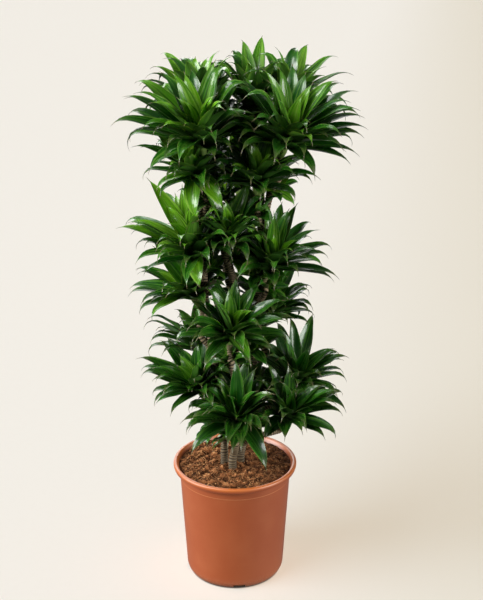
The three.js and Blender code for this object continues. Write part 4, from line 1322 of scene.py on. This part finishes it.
def leaf_points(head, turn_of_head, plan, way, leaves):
    """The blade's points, in the template's order."""
    turn, tilt, share = way
    stem = head_axis(head)
    axis = unit(stem * (1 - UPRIGHT_PULL * plan.age) + np.array([0, 0, UPRIGHT_PULL * plan.age]))
    outward = outward_at(axis, math.radians(plan.azimuth + turn) + turn_of_head)
    side = unit(np.cross(axis, outward))
    crowd = crowding(head, outward)
    lower = max(0.0, float(outward[:2] @ head.lean))
    upper = max(0.0, -float(outward[:2] @ head.lean))
    length = (plan.length * share * (1 - CROWD_EFFECT * crowd)
              * (1 - LEAN_SHORTENING * lower + LEAN_LENGTHENING * upper))
    start = (np.array(head.crown) - stem * (ROOT_DEPTH + plan.age * LEAFY_SHARE * head.stem * head.size)
             + outward * (ROOT_OUT + ROOT_OUT_YOUNG * (1 - plan.age)))
    steps = np.linspace(0, 1, LEAF_STEPS + 1)
    opening = LEAN_OPENING * lower * max(0.0, 1 - plan.age / LEAN_OPEN_AGE)
    opening -= LEAN_RAISING * lower * max(0.0, plan.age - LEAN_OPEN_AGE)
    slope = max(LEAST_SLOPE, plan.slope * (1 - CROWD_EFFECT * crowd) + opening + tilt)
    slope = slope + plan.droop * steps ** DROOP_POWER
    fold = plan.fold * max(0.0, 1 - LEAN_UNFOLDING * lower)
    slope = slope + fold * smooth_step((steps - FOLD_START) / FOLD_REACH)
    curl = plan.curl + LEAN_CURL * lower * (1 - plan.age)
    curled = np.clip((steps - CURL_START) / CURL_REACH, 0, 1) ** CURL_POWER
    slope = np.radians(np.minimum(slope, FURTHEST_SLOPE) + curl * curled)
    directions = np.outer(np.cos(slope), axis) + np.outer(np.sin(slope), outward)
    travelled = np.concatenate([[np.zeros(3)], np.cumsum(directions[:-1], axis=0)])
    places = start + travelled * length / LEAF_STEPS
    places = places + np.outer(plan.sway * length * steps ** 2, side)

    rows = np.append(LEAF_ROWS, 1.0)
    place = np.stack([np.interp(rows, steps, places[:, k]) for k in range(3)], axis=1)
    direction = np.stack([np.interp(rows, steps, directions[:, k]) for k in range(3)], axis=1)
    direction /= np.linalg.norm(direction, axis=1)[:, None]
    roll = np.radians(plan.roll * rows)[:, None]
    rolled = side * np.cos(roll) + np.cross(direction, side) * np.sin(roll)
    face = -np.cross(rolled, direction)
    face /= np.linalg.norm(face, axis=1)[:, None]

    half = plan.width * width_share(np.minimum(1, rows / LEAF_BLADE_END)) / 2
    half = np.maximum(half, LEAF_THREAD * np.clip((1 - rows) / THREAD_END, THREAD_POINT, 1))
    cup = half * (CUP_ROOT - CUP_LOSS * rows)
    columns = LEAF_COLUMNS
    waves = plan.wave * np.sin(np.pi * np.clip(rows / WAVE_END, 0, 1))[:, None] * columns ** 2
    phase = WAVES_ALONG * rows[:, None] + plan.phase + WAVE_SHIFT * np.sign(columns)
    waves = waves * np.sin(2 * math.pi * phase)
    rise = cup[:, None] * np.abs(columns) ** CUP_POWER + waves
    groove = np.exp(-(columns / GROOVE_WIDTH) ** 2)
    upper = rise - GROOVE_DEPTH * groove * (half / BROAD_HALF)[:, None]
    body = leaves.thickness * (EDGE_THICKNESS + (1 - EDGE_THICKNESS) * np.sqrt(1 - columns ** 2))
    rib = RIB_DEPTH * groove * (1 - rows)[:, None] * np.minimum(1, half / RIB_HALF)[:, None]
    lower = rise - np.minimum(body + rib, half[:, None])

    spread = (half[:, None] * columns)[:, :, None] * rolled[:, None, :]
    top = place[:, None, :] + spread + upper[:, :, None] * face[:, None, :]
    low = place[:, None, :] + spread + lower[:, :, None] * face[:, None, :]
    return np.concatenate([top[:-1].reshape(-1, 3), low[:-1, 1:-1].reshape(-1, 3), place[-1:]])


class Thicket:
    """What is already placed, to keep new blades from crossing it."""

    ROWS = [3, 5, 7, 9, 11, 13, 15]  # the rows and columns of a blade that its coarse tree takes
    COLUMNS = [0, 3, 6]

    def __init__(self):
        self.trees = []
        self.lows = []
        self.highs = []

    def add(self, entry):
        """Adds a tree with its box."""
        tree, low, high = entry
        self.trees.append(tree)
        self.lows.append(low)
        self.highs.append(high)

    @staticmethod
    def solid(points, faces):
        """A tree of any faces."""
        points = np.asarray(points)
        return BVHTree.FromPolygons(points.tolist(), faces), points.min(axis=0), points.max(axis=0)

    @classmethod
    def blade(cls, points):
        """A coarse tree of a blade, without its root."""
        columns = len(LEAF_COLUMNS)
        corners = points[[row * columns + column for row in cls.ROWS for column in cls.COLUMNS]]
        taken = len(cls.COLUMNS)
        faces = []
        for i in range(len(cls.ROWS) - 1):
            for j in range(taken - 1):
                a = i * taken + j
                faces.append((a, a + 1, a + taken + 1, a + taken))
        return cls.solid(corners, faces)

    def crossings(self, entry):
        """How many faces of the placed things the new tree crosses."""
        tree, low, high = entry
        near = np.flatnonzero(np.all(np.array(self.lows) <= high, axis=1)
                              & np.all(np.array(self.highs) >= low, axis=1))
        return sum(len(tree.overlap(self.trees[i])) for i in near)


def plant_obstacles():
    """The thicket before any leaf: the pot, the soil, the canes and the heads' stems."""
    thicket = Thicket()
    for name in ("pot", "soil"):
        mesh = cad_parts[name].data
        points = [vertex.co for vertex in mesh.vertices]
        thicket.add(Thicket.solid(points, [face.vertices[:] for face in mesh.polygons]))
    for cane in CANES:
        lines = [(trunk_path(cane), cane.radius)]
        lines += [(shoot_path(cane, shoot), SHOOT_RADIUS) for shoot in cane.shoots]
        for path, radius in lines:
            places, directions, _ = even_points(path, COARSE_STEP)
            points, faces = tube(places, directions, np.full((len(places), COARSE_SIDES), radius))
            thicket.add(Thicket.solid(points, faces))
    for head in HEADS:
        ends = np.array([head_foot(head), np.array(head.crown)])
        directions = np.array([head_axis(head)] * 2)
        points, faces = tube(ends, directions, np.full((2, COARSE_SIDES), COARSE_STEM_RADIUS))
        thicket.add(Thicket.solid(points, faces))
    return thicket


def stem_points(head):
    """The leafy stem in the middle of a head: a short taper under the leaf roots."""
    axis = head_axis(head)
    foot = head_foot(head)
    reach = head.stem * head.size
    stations = np.linspace(0, 1, STEM_ROWS)
    places = foot + np.outer(stations * (reach + STEM_RISE), axis)
    swell = np.sin(np.clip(stations * 2.2, 0, 1) * math.pi / 2)
    profile = STEM_RADIUS + STEM_SWELL * swell - STEM_TAPER * stations ** 3
    rings = 1 + STEM_RING_RELIEF * np.sin(stations * STEM_RINGS)
    share = STEM_SMALL_SHARE + (1 - STEM_SMALL_SHARE) * head.size
    radii = np.repeat((profile * rings * share)[:, None], STEM_SIDES, axis=1)
    return tube(places, np.repeat(axis[None, :], len(places), axis=0), radii)


def bake_layout(mesh, count, loops_of_leaf, faces_below):
    """Lays every blade's two sides out in a grid of tall cells, and the stems in the last one."""
    cells = 2 * count + 1
    columns = math.ceil(math.sqrt(cells * 4))  # four cells are as wide as one is tall
    rows = math.ceil(cells / columns)
    size = np.array([1 / columns, 1 / rows])
    unit_uv = np.stack([0.5 + 0.46 * LEAF_ACROSS, 0.04 + 0.92 * LEAF_ALONG], axis=1)
    uv = np.zeros((len(mesh.loops), 2))
    lengths = [len(face) for face in LEAF_FACES]
    below = np.repeat(faces_below, lengths)
    for leaf in range(count):
        cell = 2 * leaf + below
        origin = np.stack([cell % columns, cell // columns], axis=1) * size
        start = leaf * len(loops_of_leaf)
        uv[start:start + len(loops_of_leaf)] = origin + unit_uv[loops_of_leaf] * size
    rest = count * len(loops_of_leaf)
    corners = np.array([loop.vertex_index for loop in mesh.loops[rest:]])
    places = np.array([mesh.vertices[i].co for i in corners])
    span = np.ptp(places, axis=0).max()
    local = (places - places.min(axis=0)) / span
    cell = cells - 1
    origin = np.array([cell % columns, cell // columns]) * size
    uv[rest:] = origin + (0.1 + 0.8 * local[:, [0, 2]]) * size
    layer = mesh.uv_layers.new(name="OFBake")
    layer.data.foreach_set("uv", uv.astype(np.float32).ravel())


LEAF_VALUES = {"leaf_across": LEAF_ACROSS, "leaf_along": LEAF_ALONG, "leaf_under": LEAF_UNDER}
STEM_VALUES = {"leaf_across": 0.3, "leaf_along": 0.04, "leaf_under": 0.0, "leaf_age_and_shade": 0.5,
               "leaf_luck": 0.5}


def painted_head_light_and_shade(head):
    """Painted shade and light that a head adds to the age that its leaves show: low heads look older
    and darker, and some heads add their own share.
    """
    low = 1 - float(smooth_step((head.crown[2] - SHADE_LOW) / SHADE_REACH))
    return LOW_HEAD_SHADE * low + HEAD_LIGHT_AND_SHADE.get(head.name, 0.0)


def grow(name, growths, blade, thicket, leaves):
    """One mesh of leaves and stems; each growth is a head, its turn and the plans of its leaves."""
    loops_of_leaf = np.array([i for face in LEAF_FACES for i in face])
    points, faces, edge = [], [], []
    values = {key: [] for key in STEM_VALUES}
    for head, turn_of_head, plans in growths:
        for plan in plans:
            best = None
            for way in BENDS:
                shape = leaf_points(head, turn_of_head, plan, way, leaves)
                entry = Thicket.blade(shape)
                count = thicket.crossings(entry)
                if best is None or count < best[0]:
                    best = (count, shape, entry)
                if count == 0:
                    break
            _, shape, entry = best
            thicket.add(entry)
            start = len(points) * len(shape)
            faces.extend(tuple(start + i for i in face) for face in LEAF_FACES)
            points.append(shape)
            edge.append(LEAF_EDGE)
            for key, numbers in LEAF_VALUES.items():
                values[key].append(numbers)
            # Painted shade and light: each head's share is added to its leaves' age.
            values["leaf_age_and_shade"].append(np.full(len(shape), plan.age + painted_head_light_and_shade(head)))
            values["leaf_luck"].append(np.full(len(shape), plan.luck))
    count = len(points)
    start = count * len(LEAF_ACROSS)
    for head, _, _ in growths:
        stem, stem_faces = stem_points(head)
        faces.extend(tuple(start + i for i in face) for face in stem_faces)
        start += len(stem)
        points.append(stem)
        edge.append(np.zeros(len(stem), bool))
        for key, number in STEM_VALUES.items():
            values[key].append(np.full(len(stem), number))
    piece = mesh_piece(name, np.concatenate(points), faces, blade,
                       {key: np.concatenate(blocks) for key, blocks in values.items()})
    mesh = piece.data
    edge = np.concatenate(edge)
    ends = np.zeros(2 * len(mesh.edges), np.int32)
    mesh.edges.foreach_get("vertices", ends)
    sharp = edge[ends[0::2]] & edge[ends[1::2]]
    mesh.attributes.new("sharp_edge", "BOOLEAN", "EDGE").data.foreach_set("value", sharp)
    bake_layout(mesh, count, loops_of_leaf, LEAF_BELOW)
    return piece


def sprout_head(cane_name, height, angle, size):
    """A small young head that stands straight on a cane's bark."""
    cane = next(cane for cane in CANES if cane.name == cane_name)
    turn = math.radians(angle)
    outward = np.array([math.cos(turn), math.sin(turn), 0.0])
    bark = point_at_height(trunk_path(cane), height)
    crown = bark + outward * SPROUT_OUT + np.array([0, 0, SPROUT_UP])
    return Head(f"sprout_{height}", tuple(crown), tuple(SPROUT_LEAN * outward[:2]), size,
                SPROUT_STEM / size, SPROUT_LEAVES)


def seeded(seed, number):
    """The draws of one head or sprout."""
    first, step = seed
    return draws(first + step * number)


class CORNPLANT_OT_make_heads(Operator):
    """Make the heads of arching leaves and the small sprouts on the canes"""

    bl_idname = "cornplant.make_heads"
    bl_label = "Make heads"

    def execute(self, context):
        """Makes each head, oldest leaf first, bending each leaf clear of what is there."""
        leaves = context.scene.cornplant_leaves
        blade = leaf_finish(leaves)
        thicket = plant_obstacles()
        for number, head in enumerate(HEADS):
            draw, between = seeded(LEAF_SEED, number), seeded(BETWEEN_SEED, number)
            bend, look = seeded(BEND_SEED, number), seeded(LOOK_SEED, number)
            turn = number * HEAD_TURN
            plans = [leaf_plan(head, leaves, rank, draw, bend, look) for rank in range(head.leaves)]
            plans += [leaf_plan(head, leaves, rank + 0.5, between, bend, look)
                      for rank in range(head.leaves)]
            plans.sort(key=lambda plan: -plan.age)
            plans += [lone_leaf(*lone, turn, leaves) for lone in LONE_LEAVES.get(head.name, [])]
            piece = grow(f"leaves_{head.name}", [(head, turn, plans)], blade, thicket, leaves)
            settle(piece, "leaf", f"head_{head.name}")
        sprouts = []
        for number, place in enumerate(SPROUTS):
            head = sprout_head(*place)
            draw = seeded(SPROUT_SEED, number)
            plans = [leaf_plan(head, leaves, rank, draw, draw, draw) for rank in range(head.leaves)]
            plans = [plan._replace(age=SPROUT_AGE * plan.age) for plan in plans]
            sprouts.append((head, number * HEAD_TURN, plans))
        settle(grow("leaves_of_sprouts", sprouts, blade, thicket, leaves), "leaf")
        return {"FINISHED"}


# ---- the stage --------------------------------------------------------------------------------

FLOOR_REACH = 30.0
KEY_DIRECTION = (0.62, 0.52, -0.74)  # the way the key light travels
KEY_SPREAD = math.radians(28)
HORIZON_LIGHT = 0.03  # strength of the light from all around
TOP_LIGHT = 0.16  # and from above
FLOOR_BOUNCE = 0.12  # what the plant gets from the floor
# Each softbox on the plant: the way its light travels, how wide it looks and its strength.
SOFTBOXES = [
    ((0.92, 0.18, -0.30), math.radians(34), 4.9),
    ((0.30, -0.86, -0.41), math.radians(38), 1.6),
    ((-0.89, 0.42, -0.14), math.radians(38), 4.5),
]
SHADE_DIRECTION = (0.62, 0.34, -0.70)  # the way the light that casts the plant's shade travels
SHADE_SPREAD = math.radians(42)
KEY_COLOUR = (0.97, 0.985, 1.0)
FILL_COLOUR = (1.0, 1.0, 0.99)
SHADE_COLOUR = (0.58, 0.76, 1.0)  # cool, so that the shade is warm
FLOOR_LIGHT_COLOUR = (1.0, 0.935, 0.845)


class CORNPLANT_OT_make_stage(Operator):
    """Make the pale floor, the soft studio light and the camera"""

    bl_idname = "cornplant.make_stage"
    bl_label = "Make stage"

    def execute(self, context):
        """Makes the floor, the lights and the camera."""
        stage = context.scene.cornplant_stage
        corners = [(-FLOOR_REACH, -FLOOR_REACH, 0), (FLOOR_REACH, -FLOOR_REACH, 0),
                   (FLOOR_REACH, FLOOR_REACH, 0), (-FLOOR_REACH, FLOOR_REACH, 0)]
        floor = mesh_piece("floor", corners, [(0, 1, 2, 3)], floor_finish(stage), smooth=False)
        floor.visible_diffuse = False
        floor.visible_glossy = False
        self.make_light(context, stage, floor)
        self.make_camera(context)
        return {"FINISHED"}

    @staticmethod
    def add_sun(name, travel, spread, strength, colour, floor, state):
        """A far light of a given apparent width that leaves the floor out, or lights it alone."""
        light = bpy.data.lights.new(name, "SUN")
        light.energy = strength
        light.angle = spread
        light.color = colour
        lamp = bpy.data.objects.new(name, light)
        lamp.rotation_euler = Vector(travel).to_track_quat("-Z", "Y").to_euler()
        bpy.context.scene.collection.objects.link(lamp)
        group = bpy.data.collections.new(f"{name}_receivers")
        group.objects.link(floor)
        group.collection_objects[0].light_linking.link_state = state
        lamp.light_linking.receiver_collection = group
        return light

    @classmethod
    def make_light(cls, context, stage, floor):
        """A broad key light, softboxes and an even fill."""
        cls.add_sun("key_light", KEY_DIRECTION, KEY_SPREAD, stage.key_strength, KEY_COLOUR,
                    floor, "EXCLUDE")
        for i, (travel, spread, strength) in enumerate(SOFTBOXES):
            cls.add_sun(f"softbox_{i}", travel, spread, strength * stage.fill_strength,
                        FILL_COLOUR, floor, "EXCLUDE")
        cls.add_sun("floor_shade", SHADE_DIRECTION, SHADE_SPREAD, stage.shade_strength,
                    SHADE_COLOUR, floor, "INCLUDE")
        even = cls.add_sun("floor_light", (0, 0, -1), 0.0, stage.floor_strength,
                           FLOOR_LIGHT_COLOUR, floor, "INCLUDE")
        even.use_shadow = False
        world = bpy.data.worlds.new("studio")
        world.use_nodes = True
        studio = Nodes(world.node_tree)
        direction = studio.node("ShaderNodeTexCoord").outputs["Generated"]
        height = studio.node("ShaderNodeSeparateXYZ", [(0, direction)]).outputs["Z"]
        light = studio.fade(height, 0.0, 0.90, HORIZON_LIGHT, TOP_LIGHT)
        light = studio.sum("ADD", light, studio.fade(height, 0.0, -0.12, 0.0, FLOOR_BOUNCE))
        background = world.node_tree.nodes["Background"]
        background.inputs["Color"].default_value = (*FILL_COLOUR, 1.0)
        studio.put(background.inputs["Strength"], studio.sum("MULTIPLY", light, stage.fill_strength))
        context.scene.world = world
        context.scene.view_settings.view_transform = "Standard"

    @staticmethod
    def make_camera(context):
        """The camera at the photograph's viewing angle."""
        data = bpy.data.cameras.new("camera")
        data.sensor_fit = "HORIZONTAL"
        data.sensor_width = CAMERA_SENSOR
        data.lens = CAMERA_LENS
        camera = bpy.data.objects.new("camera", data)
        camera.location = CAMERA_PLACE
        camera.rotation_euler = (math.pi / 2 - CAMERA_PITCH, 0.0, 0.0)
        context.scene.collection.objects.link(camera)
        context.scene.camera = camera


# ---- the panel and the run --------------------------------------------------------------------


class CORNPLANT_PT_panel(Panel):
    """The corn plant's tools in the sidebar"""

    bl_idname = "CORNPLANT_PT_panel"
    bl_label = "Corn plant"
    bl_space_type = "VIEW_3D"
    bl_region_type = "UI"
    bl_category = "Corn plant"

    def draw(self, context):
        """Lists each operator over the settings that it reads."""
        for operator, key in STEPS:
            box = self.layout.box()
            box.operator(operator.bl_idname)
            settings = getattr(context.scene, key)
            for name in settings.__annotations__:
                box.prop(settings, name)


STEPS = [
    (CORNPLANT_OT_make_stage, "cornplant_stage"),
    (CORNPLANT_OT_make_pot, "cornplant_pot"),
    (CORNPLANT_OT_make_soil, "cornplant_soil"),
    (CORNPLANT_OT_make_canes, "cornplant_canes"),
    (CORNPLANT_OT_make_heads, "cornplant_leaves"),
]
SETTINGS = {
    "cornplant_stage": StageSettings,
    "cornplant_pot": PotSettings,
    "cornplant_soil": SoilSettings,
    "cornplant_canes": CaneSettings,
    "cornplant_leaves": LeafSettings,
}
CLASSES = [*SETTINGS.values(), *(operator for operator, _ in STEPS), CORNPLANT_PT_panel]


def register():
    """Registers the classes and puts the settings on the scene."""
    for cls in CLASSES:
        bpy.utils.register_class(cls)
    for key, group in SETTINGS.items():
        setattr(bpy.types.Scene, key, PointerProperty(type=group))


def unregister():
    """Takes the settings and the classes away again."""
    for key in SETTINGS:
        delattr(bpy.types.Scene, key)
    for cls in reversed(CLASSES):
        bpy.utils.unregister_class(cls)


def main():
    """Makes the whole plant."""
    register()
    bpy.ops.cornplant.make_stage()
    bpy.ops.cornplant.make_pot()
    bpy.ops.cornplant.make_soil()
    bpy.ops.cornplant.make_canes()
    bpy.ops.cornplant.make_heads()


if __name__ == "__main__":
    main()
